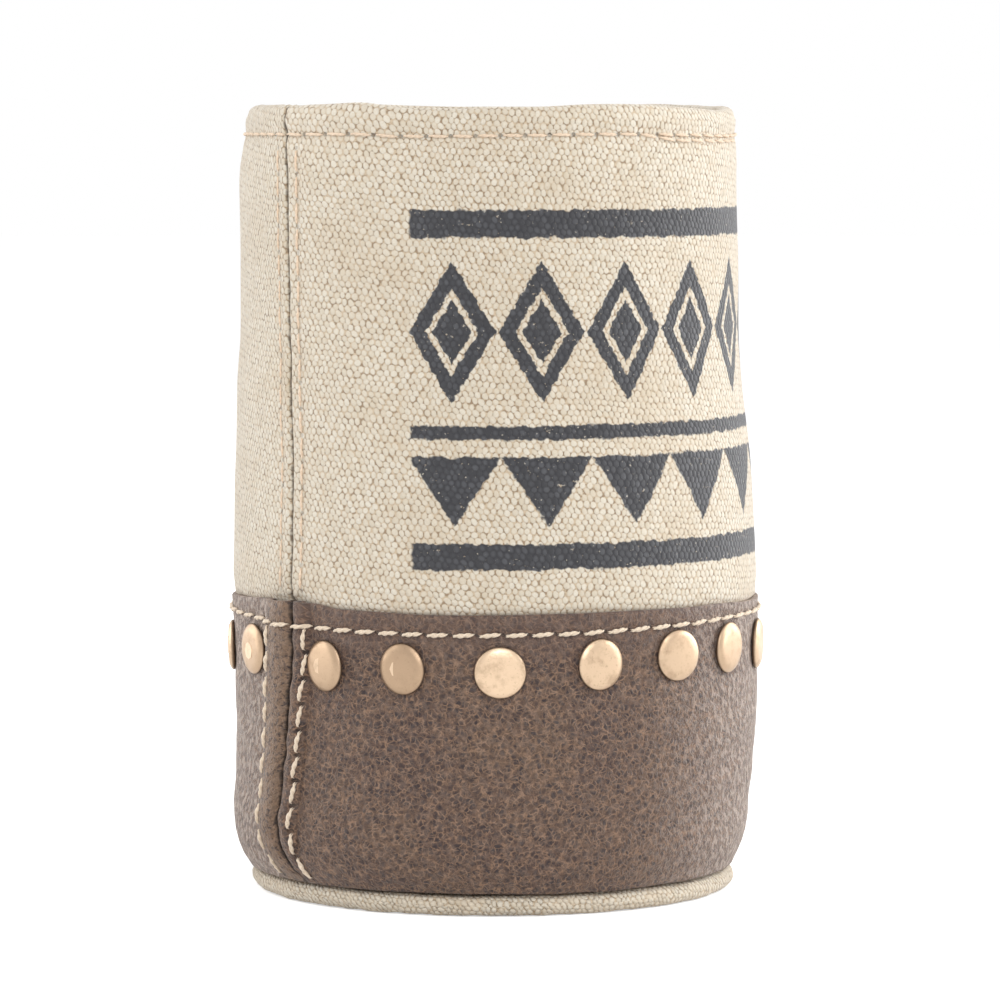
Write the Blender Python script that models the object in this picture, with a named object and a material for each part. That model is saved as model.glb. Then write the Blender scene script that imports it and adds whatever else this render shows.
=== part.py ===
"""Can cooler sleeve: a padded canvas tube with a riveted leather band at its foot and a sewn-in base.

Metres, +Z up. The origin is the centre of the base, on the surface that the sleeve stands on, and -Y is
the front. The canvas and the leather are flat panels, each wrapped once round and closed at the side
seam. Azimuths are measured from the front and grow towards +X. Turns are measured from the side seam,
the same way round.
"""

import math

import bmesh
import bpy
from mathutils import Matrix, Vector

# Heights above the surface that the sleeve stands on
RIM_HEIGHT = 0.1174
NECK_HEIGHT = 0.0820  # the wall is upright above this and widens below it
BAND_TOP = 0.0442  # cut upper edge of the leather band
TUCK_TOP = 0.0140  # below this the wall draws in to the foot
WELT_HEIGHT = 0.0032

# Radii of the canvas's outer face, and the edge that is turned in under the foot
RIM_RADIUS = 0.0369
RIM_DRAW = 0.0007  # the hem's stitches draw the rim in
BAND_TOP_RADIUS = 0.03845
WAIST_RADIUS = 0.0377  # at the top of the tuck
FOOT_RADIUS = 0.03505
EDGE_RADIUS = 0.0325

# Thickness of each sheet, and the clearances
CANVAS = 0.0009
LEATHER = 0.0010
FOAM = 0.0015
LINING = 0.0004
SEAT = 0.00025  # between one layer and the next
FOLD_GAP = 0.0005  # between the two plies of a fold

# Hem and side seam
HEM_DEPTH = 0.0085  # canvas turned down inside the rim
HEM_STITCH_DROP = 0.0041  # from the rim to the row of stitches
LINING_DROP = 0.0025  # from the rim to the lining's upper edge
FRONT_ALLOWANCE = 0.0026  # turned under on the seam's front side
BACK_ALLOWANCE = 0.0058  # turned under on its other side
SEAM_SLIT = 0.0003  # open line between the two folds
FOLD_SLOPE = 0.0004  # width in which a panel comes down from its turned-under edge
SEAM_STITCH_OFFSET = 0.0023  # rows of stitches beside the seam, from it
FELL_STITCH_OFFSET = 0.0055  # row along the wide leather fold, from the seam
BAND_STITCH_DROP = 0.0024  # from the band's upper edge to its row of stitches
WELT_WIDTH = 0.0031

# Thread
BAND_THREAD_RADIUS = 0.00034
CANVAS_THREAD_RADIUS = 0.00025
STITCH = 0.0038
PINCH = 0.45  # thickness of the thread at a needle hole, as a share
OVERSEW_START = math.radians(40)  # azimuths between which the hem's row is sewn twice
OVERSEW_END = math.radians(80)
ROW_SPACE = 0.0009

# Double-cap rivets, each at a turn from the side seam, in degrees, and a drop from the band's upper edge to
# its centre. Nine are set by hand, and the others are even
SET_RIVETS = (
    (-35.8, 0.0076), (-16.3, 0.0072), (9.4, 0.0080), (28.3, 0.0078), (49.1, 0.0081),
    (70.6, 0.0076), (90.2, 0.0072), (108.0, 0.0070), (128.2, 0.0071),
)
EVEN_RIVETS = 9
EVEN_DROP = 0.0075
CAP_RADIUS = 0.00370
CAP_HEIGHT = 0.00110
CAP_EDGE = 0.00035
CAP_CROWN = 0.8  # share of the cap's radius within which it is nearly flat
CROWN_EDGE = 0.85  # height of the crown's edge, as a share of the cap's
SOCKET_DEPTH = 0.00055
POST_RADIUS = 0.0013
PUNCH_LENGTH = 0.008
BACK_RADIUS = 0.0031
BACK_THICKNESS = 0.0004

# Side seam: its azimuth at the band's upper edge, and how far it strays above and below that edge
FRONT = math.radians(-90)
SEAM_AZIMUTH = math.radians(-48.2)
RIM_STRAY = math.radians(-7.3)
FOOT_STRAY = math.radians(-7.0)
STRAY_REACH = math.radians(30)

# Print on the canvas: stripes round a row of lozenges and a row of pennants, two facets to a motif
PRINT_START = 3
PRINT_MOTIFS = 6
LOZENGES = (0.0745, 0.0955)
PENNANTS = (0.0570, 0.0670)
PRINT_STRIPES = ((0.0508, 0.0545), (0.0695, 0.0715), (0.0985, 0.1025))

# Facets
COLUMNS = 36
FOLD_STEPS = 3
TUCK_STEPS = 3
FOLD_ROW = 2  # steps of the tuck, from the foot, in which a seam comes to its full thickness
CAP_SIDES = 12
POST_SIDES = 8
WELT_SIDES = 8
COLUMN_TURN = math.tau / COLUMNS

# Sizes that follow from the ones above
BAND_FOOT = WELT_HEIGHT + SEAT
CANVAS_FOOT = BAND_FOOT + LEATHER + SEAT
PADDING_FOOT = CANVAS_FOOT + CANVAS + SEAT
HEM_EDGE = RIM_HEIGHT - HEM_DEPTH
CANVAS_BEND = CANVAS + FOLD_GAP / 2
LEATHER_BEND = LEATHER + FOLD_GAP / 2
LEATHER_LIFT = LEATHER + FOLD_GAP
FOAM_FACE = CANVAS + SEAT
LINING_FACE = FOAM_FACE + FOAM + SEAT
HEM_LINING_FACE = 2 * CANVAS_BEND + SEAT


def clear_scene():
    for old in list(bpy.data.objects):
        bpy.data.objects.remove(old, do_unlink=True)


def material(name, colour, roughness, metallic=0.0):
    made = bpy.data.materials.new(name)
    made.use_nodes = True
    shader = made.node_tree.nodes["Principled BSDF"]
    shader.inputs["Base Color"].default_value = (*colour, 1)
    shader.inputs["Roughness"].default_value = roughness
    shader.inputs["Metallic"].default_value = metallic
    made.diffuse_color = (*colour, 1)
    return made


def add_object(name, data, *finishes):
    made = bpy.data.objects.new(name, data)
    bpy.context.scene.collection.objects.link(made)
    for finish in finishes:
        if finish.name not in data.materials:
            data.materials.append(finish)
    return made


def mesh_of(bm, name):
    mesh = bpy.data.meshes.new(name)
    bm.to_mesh(mesh)
    bm.free()
    mesh.shade_smooth()
    mesh.set_sharp_from_angle(angle=math.radians(35))
    return mesh


def wall_radius(z):
    """Radius of the canvas's outer face at height z."""
    if z < TUCK_TOP:
        drawn_in = ((TUCK_TOP - z) / (TUCK_TOP - CANVAS_FOOT)) ** 2
        return WAIST_RADIUS - (WAIST_RADIUS - FOOT_RADIUS) * drawn_in
    if z < BAND_TOP:
        return WAIST_RADIUS + (BAND_TOP_RADIUS - WAIST_RADIUS) * (z - TUCK_TOP) / (BAND_TOP - TUCK_TOP)
    if z < NECK_HEIGHT:
        return BAND_TOP_RADIUS + (RIM_RADIUS - BAND_TOP_RADIUS) * (z - BAND_TOP) / (NECK_HEIGHT - BAND_TOP)
    return RIM_RADIUS - RIM_DRAW * max(0.0, z - HEM_EDGE) / HEM_DEPTH


def stray(z):
    """How far the side seam strays from its azimuth at height z."""
    if z > BAND_TOP:
        return RIM_STRAY * (z - BAND_TOP) / (RIM_HEIGHT - BAND_TOP)
    return FOOT_STRAY * (1 - z / BAND_TOP)


def on_wall(radius, turn, z):
    """Point at a turn from the side seam. The wall beside the seam strays with it."""
    from_seam = min(turn % math.tau, -turn % math.tau)
    share = max(0.0, 1 - from_seam / STRAY_REACH)
    angle = FRONT + SEAM_AZIMUTH + turn + stray(z) * share
    return Vector((radius * math.cos(angle), radius * math.sin(angle), z))


def normals_of(rows):
    """Normals of a meridian at its points, long enough to keep a moved copy at an even distance."""
    found = []
    for k, row in enumerate(rows):
        before = row - rows[k - 1] if k else rows[k + 1] - row
        after = rows[k + 1] - row if k + 1 < len(rows) else before
        sides = [Vector((run.y, -run.x)).normalized() for run in (before, after)]
        middle = (sides[0] + sides[1]).normalized()
        found.append(middle / middle.dot(sides[0]))
    return found


def offset(rows, distance):
    return [row + normal * distance for row, normal in zip(rows, normals_of(rows))]


def foot_rows():
    """Canvas's outer face from its edge under the foot to the top of the tuck."""
    step = (TUCK_TOP - CANVAS_FOOT) / TUCK_STEPS
    heights = [CANVAS_FOOT + step * k for k in range(TUCK_STEPS + 1)]
    return [Vector((EDGE_RADIUS, CANVAS_FOOT))] + [Vector((wall_radius(z), z)) for z in heights]


def canvas_rows():
    """Canvas's outer face, from under the foot, up, over the rim and down inside the hem."""
    roll_start = RIM_HEIGHT - CANVAS_BEND
    upright = [Vector((wall_radius(z), z)) for z in (BAND_TOP, NECK_HEIGHT, HEM_EDGE, roll_start)]
    centre = upright[-1] - Vector((CANVAS_BEND, 0))
    roll = []
    for k in range(1, FOLD_STEPS + 1):
        angle = math.pi * k / FOLD_STEPS
        roll.append(centre + CANVAS_BEND * Vector((math.cos(angle), math.sin(angle))))
    edge = Vector((wall_radius(HEM_EDGE) - 2 * CANVAS_BEND, HEM_EDGE))
    return foot_rows() + upright + roll + [edge]


def band_rows():
    """Leather's outer face, from its edge under the foot to its cut upper edge."""
    return offset(foot_rows() + [Vector((BAND_TOP_RADIUS, BAND_TOP))], SEAT + LEATHER)


def layer(depth, low, high):
    """(radius, height) of the surface at a depth behind the canvas's outer face, between two heights."""
    upright = [Vector((wall_radius(z), z)) for z in (BAND_TOP, NECK_HEIGHT, HEM_EDGE, RIM_HEIGHT)]
    line = offset(foot_rows()[1:] + upright, -depth)

    def at(z):
        for below, above in zip(line, line[1:]):
            if z <= above.y or above is line[-1]:
                return below.x + (above.x - below.x) * (z - below.y) / (above.y - below.y), z

    return [at(low)] + [(row.x, row.y) for row in line if low < row.y < high] + [at(high)]


def folded_end(allowance, bend, lift):
    """(distance from the seam, lift) along one end of a panel: raw edge, fold, and its way back down."""
    points = [(allowance, lift - 2 * bend)]
    for k in range(FOLD_STEPS + 1):
        angle = math.pi * (1 - k / FOLD_STEPS)
        points.append((SEAM_SLIT / 2 + bend * (1 - math.sin(angle)), lift - bend + bend * math.cos(angle)))
    if lift:
        points.append((allowance + SEAT, lift))
        points.append((allowance + SEAT + FOLD_SLOPE, 0.0))
    return points


def panel_columns(bend, lift=0.0):
    """(turn, lift) of each column of a panel that goes once round, from raw edge to raw edge."""
    ends = []
    for allowance in (FRONT_ALLOWANCE, BACK_ALLOWANCE):
        ends.append([(across / BAND_TOP_RADIUS, rise) for across, rise in folded_end(allowance, bend, lift)])
    first, last = (max(turn for turn, rise in end) + FOLD_SLOPE / BAND_TOP_RADIUS for end in ends)
    turns = [COLUMN_TURN * k for k in range(1, COLUMNS)]
    between = [(turn, 0.0) for turn in turns if first < turn < math.tau - last]
    return ends[0] + between + [(math.tau - turn, rise) for turn, rise in reversed(ends[1])]


def lift_at(columns, turn):
    """Lift of a panel's outer ply at a turn."""
    plies = columns[FOLD_STEPS + 1 : -FOLD_STEPS - 1]
    turn = turn % math.tau
    for (turn_a, lift_a), (turn_b, lift_b) in zip(plies, plies[1:]):
        if turn_a <= turn <= turn_b:
            return lift_a + (lift_b - lift_a) * (turn - turn_a) / (turn_b - turn_a)
    return plies[0][1]


def fold_share(z):
    """Share of a seam's thickness at height z: it thins out at the foot, where its allowances stop."""
    return min(1.0, max(0.0, (z - CANVAS_FOOT) * TUCK_STEPS / (TUCK_TOP - CANVAS_FOOT) / FOLD_ROW))


def wrap_panel(rows, columns, whole_rows):
    """A flat panel wrapped once round. Its allowances stop short of its turned edges, past whole_rows."""
    bm = bmesh.new()
    across, up = len(columns) - 1, len(rows) - 1
    bmesh.ops.create_grid(bm, x_segments=across, y_segments=up, size=1)
    normals = normals_of(rows)
    cut_away = []
    for vert in bm.verts:
        i = round((vert.co.x + 1) / 2 * across)
        j = round((vert.co.y + 1) / 2 * up)
        turn, lift = columns[i]
        share = fold_share(rows[j].y)
        from_end = min(i, across - i)
        if not whole_rows[0] <= j <= whole_rows[1] and from_end <= FOLD_STEPS:
            half_slit = SEAM_SLIT / 2 / BAND_TOP_RADIUS
            turn = half_slit if i == from_end else math.tau - half_slit
            lift = lift_at(columns, 0)
            if from_end < FOLD_STEPS:
                cut_away.append(vert)
        place = rows[j] + normals[j] * lift * share
        vert.co = on_wall(place.x, turn, place.y)
    bmesh.ops.delete(bm, geom=cut_away, context="VERTS")
    bm.normal_update()
    bmesh.ops.recalc_face_normals(bm, faces=bm.faces)
    middle = max(bm.faces, key=lambda face: face.calc_center_median().xy.length)
    if middle.normal.xy.dot(middle.calc_center_median().xy) < 0:
        bmesh.ops.reverse_faces(bm, faces=bm.faces)
    return bm


def give_thickness(sheet, thickness):
    """The sheet's outer face stays where it is, and its thickness goes behind it."""
    solid = sheet.modifiers.new("Thickness", "SOLIDIFY")
    solid.thickness = thickness
    solid.offset = -1
    solid.use_even_offset = True
    solid.use_quality_normals = True
    solid.material_offset = -1
    solid.material_offset_rim = -1


def punch(sheet, cutter):
    holes = sheet.modifiers.new("Room for the rivets", "BOOLEAN")
    holes.operation = "DIFFERENCE"
    holes.object = cutter


def turned(section):
    """A closed (radius, height) outline taken the whole way round the axis, with the wall's facets."""
    bm = bmesh.new()
    verts = [bm.verts.new((radius, 0, z)) for radius, z in section]
    outline = verts + [bm.edges.new(pair) for pair in zip(verts, verts[1:] + verts[:1])]
    bmesh.ops.spin(
        bm, geom=outline, axis=(0, 0, 1), cent=(0, 0, 0), angle=math.tau, steps=COLUMNS, use_merge=True
    )
    for vert in bm.verts:
        k = round(math.atan2(vert.co.y, vert.co.x) / COLUMN_TURN)
        vert.co = on_wall(vert.co.xy.length, COLUMN_TURN * k, vert.co.z)
    bm.normal_update()
    bmesh.ops.recalc_face_normals(bm, faces=bm.faces)
    return bm


def disc(section):
    """A (radius, height) profile, with both ends on the axis, turned round it with the wall's facets."""
    bm = lathe(section, COLUMNS)
    for vert in bm.verts:
        if vert.co.xy.length > SEAT:
            k = round(math.atan2(vert.co.y, vert.co.x) / COLUMN_TURN)
            vert.co = on_wall(vert.co.xy.length, COLUMN_TURN * k, vert.co.z)
    return bm


def print_on(bm):
    """Splits the canvas's facets along the printed shapes, and gives the inked ones the second finish."""
    start, end = COLUMN_TURN * PRINT_START, COLUMN_TURN * (PRINT_START + 2 * PRINT_MOTIFS)

    def motif_place(point):
        column = ((math.atan2(point.y, point.x) - FRONT - SEAM_AZIMUTH) % math.tau - start) / COLUMN_TURN
        return abs(column % 2 - 1), point.z

    def in_block(face):
        middle = face.calc_center_median()
        turn = (math.atan2(middle.y, middle.x) - FRONT - SEAM_AZIMUTH) % math.tau
        return start < turn < end and BAND_TOP < middle.z < HEM_EDGE and face.normal.dot(middle) > 0

    def inked(point):
        across, z = motif_place(point)
        if any(low < z < high for low, high in PRINT_STRIPES):
            return True
        low, high = LOZENGES
        in_lozenge = abs(2 * z - low - high) < (high - low) * (1 - across)
        low, high = PENNANTS
        in_pennant = low < z < high and across * (high - low) < z - low
        return in_lozenge or in_pennant

    levels = {z for stripe in PRINT_STRIPES for z in stripe} | {*LOZENGES, sum(LOZENGES) / 2, *PENNANTS}
    for level in sorted(levels):
        block = [face for face in bm.faces if in_block(face)]
        edges = {edge for face in block for edge in face.edges}
        verts = {vert for face in block for vert in face.verts}
        bmesh.ops.bisect_plane(
            bm, geom=[*block, *edges, *verts], plane_co=(0, 0, level), plane_no=(0, 0, 1), dist=1e-7
        )
    for face in [face for face in bm.faces if in_block(face) and len(face.verts) == 4]:
        corners = list(face.verts)
        for a, b in ((0, 2), (1, 3)):
            halves = [(corners[a].co + corners[b].co + corners[a + 1].co) / 3]
            halves.append((corners[a].co + corners[b].co + corners[(b + 1) % 4].co) / 3)
            if inked(halves[0]) != inked(halves[1]):
                bmesh.utils.face_split(face, corners[a], corners[b])
                break
    for face in bm.faces:
        if in_block(face):
            face.material_index = int(inked(face.calc_center_median()))


def rivet_places():
    """Places of the rivets on the canvas's outer face: their +Z points out of the wall."""
    last_turn = SET_RIVETS[-1][0]
    even_step = (360 - last_turn + SET_RIVETS[0][0]) / (EVEN_RIVETS + 1)
    even = [(last_turn + even_step * k, EVEN_DROP) for k in range(1, EVEN_RIVETS + 1)]
    lean = math.atan((BAND_TOP_RADIUS - WAIST_RADIUS) / (BAND_TOP - TUCK_TOP))
    places = []
    for turn, drop in (*SET_RIVETS, *even):
        angle = FRONT + SEAM_AZIMUTH + math.radians(turn)
        z = BAND_TOP - drop
        out = Matrix.Rotation(angle, 4, "Z") @ Matrix.Rotation(math.radians(90) + lean, 4, "Y")
        at = Vector((math.cos(angle) * wall_radius(z), math.sin(angle) * wall_radius(z), z))
        places.append(Matrix.Translation(at) @ out)
    return places


def lathe(section, sides):
    """A (radius, height) profile, with both ends on the axis, turned round Z."""
    bm = bmesh.new()
    verts = [bm.verts.new((radius, 0, z)) for radius, z in section]
    edges = [bm.edges.new(pair) for pair in zip(verts, verts[1:])]
    bmesh.ops.spin(
        bm, geom=verts + edges, axis=(0, 0, 1), cent=(0, 0, 0), angle=math.tau, steps=sides, use_merge=True
    )
    bmesh.ops.remove_doubles(bm, verts=bm.verts, dist=1e-7)
    bm.normal_update()
    bmesh.ops.recalc_face_normals(bm, faces=bm.faces)
    return bm


def rivet_meshes():
    """Meshes of a cap and of the post with its back disc, from the canvas's outer face."""
    seat = 2 * SEAT + LEATHER
    socket = POST_RADIUS + SEAT
    cap = [(0, seat + SOCKET_DEPTH), (socket, seat + SOCKET_DEPTH), (socket, seat), (CAP_RADIUS, seat)]
    cap += [(CAP_RADIUS, seat + CAP_EDGE), (CAP_RADIUS * CAP_CROWN, seat + CAP_HEIGHT * CROWN_EDGE)]
    cap += [(0, seat + CAP_HEIGHT)]
    inner = WAIST_RADIUS - CANVAS
    curve = inner - math.sqrt(inner**2 - BACK_RADIUS**2) + inner * (1 - math.cos(COLUMN_TURN / 2))
    disc = -CANVAS - curve - SEAT
    post = [(0, disc - BACK_THICKNESS), (BACK_RADIUS, disc - BACK_THICKNESS), (BACK_RADIUS, disc)]
    post += [(POST_RADIUS, disc), (POST_RADIUS, seat + SOCKET_DEPTH - SEAT), (0, seat + SOCKET_DEPTH - SEAT)]
    groove = -disc + BACK_THICKNESS + SEAT
    return mesh_of(lathe(cap, CAP_SIDES), "rivet_cap"), mesh_of(lathe(post, POST_SIDES), "rivet_post"), groove


def thread(name, path, radius, closed, finish):
    """A row of stitches as one thread, thin at every needle hole. Each path point has its thickness."""
    curve = bpy.data.curves.new(name, "CURVE")
    curve.dimensions = "3D"
    curve.bevel_depth = radius
    curve.bevel_resolution = 0
    curve.use_fill_caps = not closed
    spline = curve.splines.new("POLY")
    spline.points.add(len(path) - 1)
    spline.use_cyclic_u = closed
    for point, (place, thickness) in zip(spline.points, path):
        point.co = (*place, 1)
        point.radius = thickness
    return add_object(name, curve, finish)


def ring_path(turns, height_at, rows_offset, columns, radius):
    """Half-stitch points round the wall, at rows_offset from the canvas's outer face."""
    path = []
    for k, turn in enumerate(turns):
        thickness = PINCH if k % 2 else 1.0
        z = height_at(k)
        near = (turn, turn + turns[0] - turns[1], turn + turns[1] - turns[0])
        lift = max(lift_at(columns, beside) for beside in near) + rows_offset + SEAT + radius * thickness
        path.append((on_wall(wall_radius(z) + lift, turn, z), thickness))
    return path


def seam_path(rows, across, columns, radius):
    """Half-stitch points up a panel's outer face, at a distance from the seam, along its meridian."""
    turn = across / BAND_TOP_RADIUS
    lift = lift_at(columns, turn)
    sides = normals_of(rows)
    run = [row + side * (lift * fold_share(row.y) + SEAT + radius) for row, side in zip(rows, sides)]
    lengths = [(b - a).length for a, b in zip(run, run[1:])]
    count = 2 * round(sum(lengths) / STITCH)
    path = []
    for k in range(count + 1):
        along = sum(lengths) * k / count
        leg = 0
        while leg < len(lengths) - 1 and along > lengths[leg]:
            along -= lengths[leg]
            leg += 1
        place = run[leg].lerp(run[leg + 1], along / lengths[leg])
        path.append((on_wall(place.x, turn, place.y), 1.0 if k % 2 else PINCH))
    return path


clear_scene()
canvas = material("canvas", (0.62, 0.52, 0.40), 0.9)
ink = material("ink", (0.07, 0.075, 0.085), 0.85)
leather = material("leather", (0.17, 0.11, 0.085), 0.5)
brass = material("brass", (0.74, 0.55, 0.34), 0.35, 1.0)
foam = material("foam", (0.30, 0.30, 0.30), 0.9)
lining = material("lining", (0.05, 0.05, 0.055), 0.8)
cream_thread = material("cream_thread", (0.80, 0.66, 0.50), 0.7)
peach_thread = material("peach_thread", (0.86, 0.64, 0.45), 0.7)

# Rivets, and the punch that makes their holes in the canvas and the leather
cap_mesh, post_mesh, groove_depth = rivet_meshes()
punch_bm = bmesh.new()
for number, place in enumerate(rivet_places(), start=1):
    for kind, mesh in (("cap", cap_mesh), ("post", post_mesh)):
        add_object(f"rivet_{kind}_{number:02d}", mesh, brass).matrix_world = place
    bmesh.ops.create_cone(
        punch_bm, cap_ends=True, segments=POST_SIDES, radius1=POST_RADIUS + SEAT,
        radius2=POST_RADIUS + SEAT, depth=PUNCH_LENGTH, matrix=place,
    )
rivet_punch = add_object("rivet_punch", mesh_of(punch_bm, "rivet_punch"))
rivet_punch.hide_render = True
rivet_punch.display_type = "WIRE"

# Canvas panel, with its hem turned down inside the rim and its foot turned in
canvas_columns = panel_columns(CANVAS_BEND)
rows = canvas_rows()
whole = (FOLD_ROW + 1, rows.index(Vector((wall_radius(NECK_HEIGHT), NECK_HEIGHT))))
canvas_bm = wrap_panel(rows, canvas_columns, whole)
print_on(canvas_bm)
outer_canvas = add_object("outer_canvas", mesh_of(canvas_bm, "outer_canvas"), canvas, ink)
give_thickness(outer_canvas, CANVAS)
punch(outer_canvas, rivet_punch)

# Leather band round the foot
band_columns = panel_columns(LEATHER_BEND, LEATHER_LIFT)
band_bm = wrap_panel(band_rows(), band_columns, (FOLD_ROW + 1, len(band_rows())))
leather_band = add_object("leather_band", mesh_of(band_bm, "leather_band"), leather)
give_thickness(leather_band, LEATHER)
punch(leather_band, rivet_punch)

# Foam sheet behind the canvas: it stops beside the seam's allowances and has room for the rivets' backs
foam_top = HEM_EDGE - SEAT
foam_start = (FRONT_ALLOWANCE + SEAT) / BAND_TOP_RADIUS
foam_end = math.tau - (BACK_ALLOWANCE + SEAT) / BAND_TOP_RADIUS
turns = [foam_start]
turns += [COLUMN_TURN * k for k in range(COLUMNS) if foam_start < COLUMN_TURN * k < foam_end]
foam_columns = [(turn, 0.0) for turn in (*turns, foam_end)]
rows = [Vector(row) for row in layer(FOAM_FACE, PADDING_FOOT, foam_top)]
foam_bm = wrap_panel(rows, foam_columns, (0, len(rows)))
wall_foam = add_object("wall_foam", mesh_of(foam_bm, "wall_foam"), foam)
give_thickness(wall_foam, FOAM)
rivet_heights = [place.translation.z for place in rivet_places()]
room_low = min(rivet_heights) - BACK_RADIUS - SEAT
room_high = max(rivet_heights) + BACK_RADIUS + SEAT
room = layer(0, room_low, room_high) + layer(groove_depth, room_low, room_high)[::-1]
back_room = add_object("rivet_back_room", mesh_of(turned(room), "rivet_back_room"))
back_room.hide_render = True
back_room.display_type = "WIRE"
punch(wall_foam, back_room)

# Lining: a tube behind the foam and over the hem's raw edge
lining_foot = PADDING_FOOT
lining_top = RIM_HEIGHT - LINING_DROP
outside = layer(LINING_FACE, lining_foot, foam_top - SEAT)
outside += layer(HEM_LINING_FACE, HEM_EDGE + SEAT, lining_top)
inside = layer(LINING_FACE + LINING, lining_foot, foam_top - SEAT)
inside += layer(HEM_LINING_FACE + LINING, HEM_EDGE + SEAT, lining_top)
add_object("wall_lining", mesh_of(turned(outside + inside[::-1]), "wall_lining"), lining)

# Base: a canvas dish whose upturned edge meets the wall's, a pad in it, and its lining inside the wall's
dish_radius = EDGE_RADIUS - SEAT
dish_top = PADDING_FOOT - SEAT
dish_inside = dish_radius - CANVAS
dish = [(0, 0), (dish_radius, 0), (dish_radius, dish_top), (dish_inside, dish_top)]
dish += [(dish_inside, CANVAS), (0, CANVAS)]
pad_radius = dish_inside - SEAT
pad_low = CANVAS + SEAT
pad_top = PADDING_FOOT - SEAT
pad = [(0, pad_low), (pad_radius, pad_low), (pad_radius, pad_top), (0, pad_top)]
floor_radius = inside[0][0] - SEAT
floor_top = PADDING_FOOT + LINING
floor = [(0, PADDING_FOOT), (floor_radius, PADDING_FOOT), (floor_radius, floor_top), (0, floor_top)]
add_object("base_canvas", mesh_of(disc(dish), "base_canvas"), canvas)
add_object("base_foam", mesh_of(disc(pad), "base_foam"), foam)
add_object("base_lining", mesh_of(disc(floor), "base_lining"), lining)

# Welt: a roll of canvas sewn in between the band's foot and the base
welt_middle = EDGE_RADIUS + WELT_WIDTH / 2
welt = []
for k in range(WELT_SIDES):
    angle = math.tau * (k + 0.5) / WELT_SIDES
    reach = 1 / math.cos(math.pi / WELT_SIDES)
    radius = welt_middle + WELT_WIDTH / 2 * reach * math.cos(angle)
    welt.append((radius, WELT_HEIGHT / 2 * (1 + reach * math.sin(angle))))
add_object("base_welt", mesh_of(turned(welt), "base_welt"), canvas)

# Row of stitches round the leather band's upper edge
stitch_height = BAND_TOP - BAND_STITCH_DROP
count = 2 * round(math.tau * BAND_TOP_RADIUS / STITCH)
turns = [math.tau * k / count for k in range(count)]
path = ring_path(turns, lambda k: stitch_height, SEAT + LEATHER, band_columns, BAND_THREAD_RADIUS)
thread("band_thread", path, BAND_THREAD_RADIUS, True, cream_thread)

# Hem's row of stitches, sewn twice where its ends meet
start_turn = OVERSEW_START - SEAM_AZIMUTH
sewn_twice = OVERSEW_END - OVERSEW_START
half_stitch = STITCH / 2 / RIM_RADIUS
count = round((math.tau + sewn_twice) / half_stitch)
turns = [start_turn + half_stitch * k for k in range(count + 1)]
hem_heights = []
for turn in turns:
    past_start = (turn - start_turn - math.tau + sewn_twice / 2) / (sewn_twice / 2)
    hem_heights.append(RIM_HEIGHT - HEM_STITCH_DROP - ROW_SPACE * min(1.0, max(0.0, past_start)))
path = ring_path(turns, lambda k: hem_heights[k], 0, canvas_columns, CANVAS_THREAD_RADIUS)
thread("hem_thread", path, CANVAS_THREAD_RADIUS, False, peach_thread)

# Rows of stitches along both sides of the side seam, on the canvas and on the leather
clear_of_row = 2 * (BAND_THREAD_RADIUS + SEAT)
seam_thread_low = BAND_TOP + clear_of_row
seam_thread_high = RIM_HEIGHT - HEM_STITCH_DROP - clear_of_row
band_run_heights = [CANVAS_FOOT + BAND_THREAD_RADIUS] + [row.y for row in foot_rows()[2:]]
band_run_heights.append(stitch_height - clear_of_row)
canvas_run = [Vector((wall_radius(z), z)) for z in (seam_thread_low, NECK_HEIGHT, seam_thread_high)]
for side, across in (("front", SEAM_STITCH_OFFSET), ("back", -SEAM_STITCH_OFFSET)):
    path = seam_path(canvas_run, across, canvas_columns, CANVAS_THREAD_RADIUS)
    thread(f"canvas_seam_thread_{side}", path, CANVAS_THREAD_RADIUS, False, peach_thread)
band_run = [Vector((wall_radius(z), z)) for z in band_run_heights]
band_run = offset(band_run, SEAT + LEATHER)
for side, across in (("front", SEAM_STITCH_OFFSET), ("back", -FELL_STITCH_OFFSET)):
    path = seam_path(band_run, across, band_columns, BAND_THREAD_RADIUS)
    thread(f"band_seam_thread_{side}", path, BAND_THREAD_RADIUS, False, cream_thread)
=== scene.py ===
"""Can cooler sleeve: a padded canvas tube with a riveted leather band round its foot."""

import math
from bisect import bisect_left

import bmesh
import bpy
from mathutils import Matrix, Vector, noise


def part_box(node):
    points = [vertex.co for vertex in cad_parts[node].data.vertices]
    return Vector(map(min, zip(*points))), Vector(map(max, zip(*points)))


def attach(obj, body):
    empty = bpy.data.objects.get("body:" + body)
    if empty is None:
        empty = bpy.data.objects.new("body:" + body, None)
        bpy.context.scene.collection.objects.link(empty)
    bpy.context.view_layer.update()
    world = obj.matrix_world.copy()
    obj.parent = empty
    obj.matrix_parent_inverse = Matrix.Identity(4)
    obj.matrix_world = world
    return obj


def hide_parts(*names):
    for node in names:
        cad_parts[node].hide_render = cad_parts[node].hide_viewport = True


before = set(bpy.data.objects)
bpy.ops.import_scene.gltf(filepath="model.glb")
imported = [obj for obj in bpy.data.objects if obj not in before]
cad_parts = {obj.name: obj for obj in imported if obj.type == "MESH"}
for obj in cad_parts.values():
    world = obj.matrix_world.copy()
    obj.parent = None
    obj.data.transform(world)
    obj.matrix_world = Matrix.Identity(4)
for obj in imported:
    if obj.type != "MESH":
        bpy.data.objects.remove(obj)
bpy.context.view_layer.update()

# The picture is taken through a long lens from the height of the rim, looking slightly down. The light is
# plain: a white room, a soft lamp in front, and a broad one behind on each side that lights the edges.
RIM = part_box("outer_canvas")[1][2]
CAMERA_AT = (0.0011, -0.798, 0.11735)
CAMERA_TILT = math.radians(90 - 4.25)
camera = bpy.data.objects.new("camera", bpy.data.cameras.new("camera"))
camera.data.sensor_width = 36
camera.data.lens = 190.8
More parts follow.
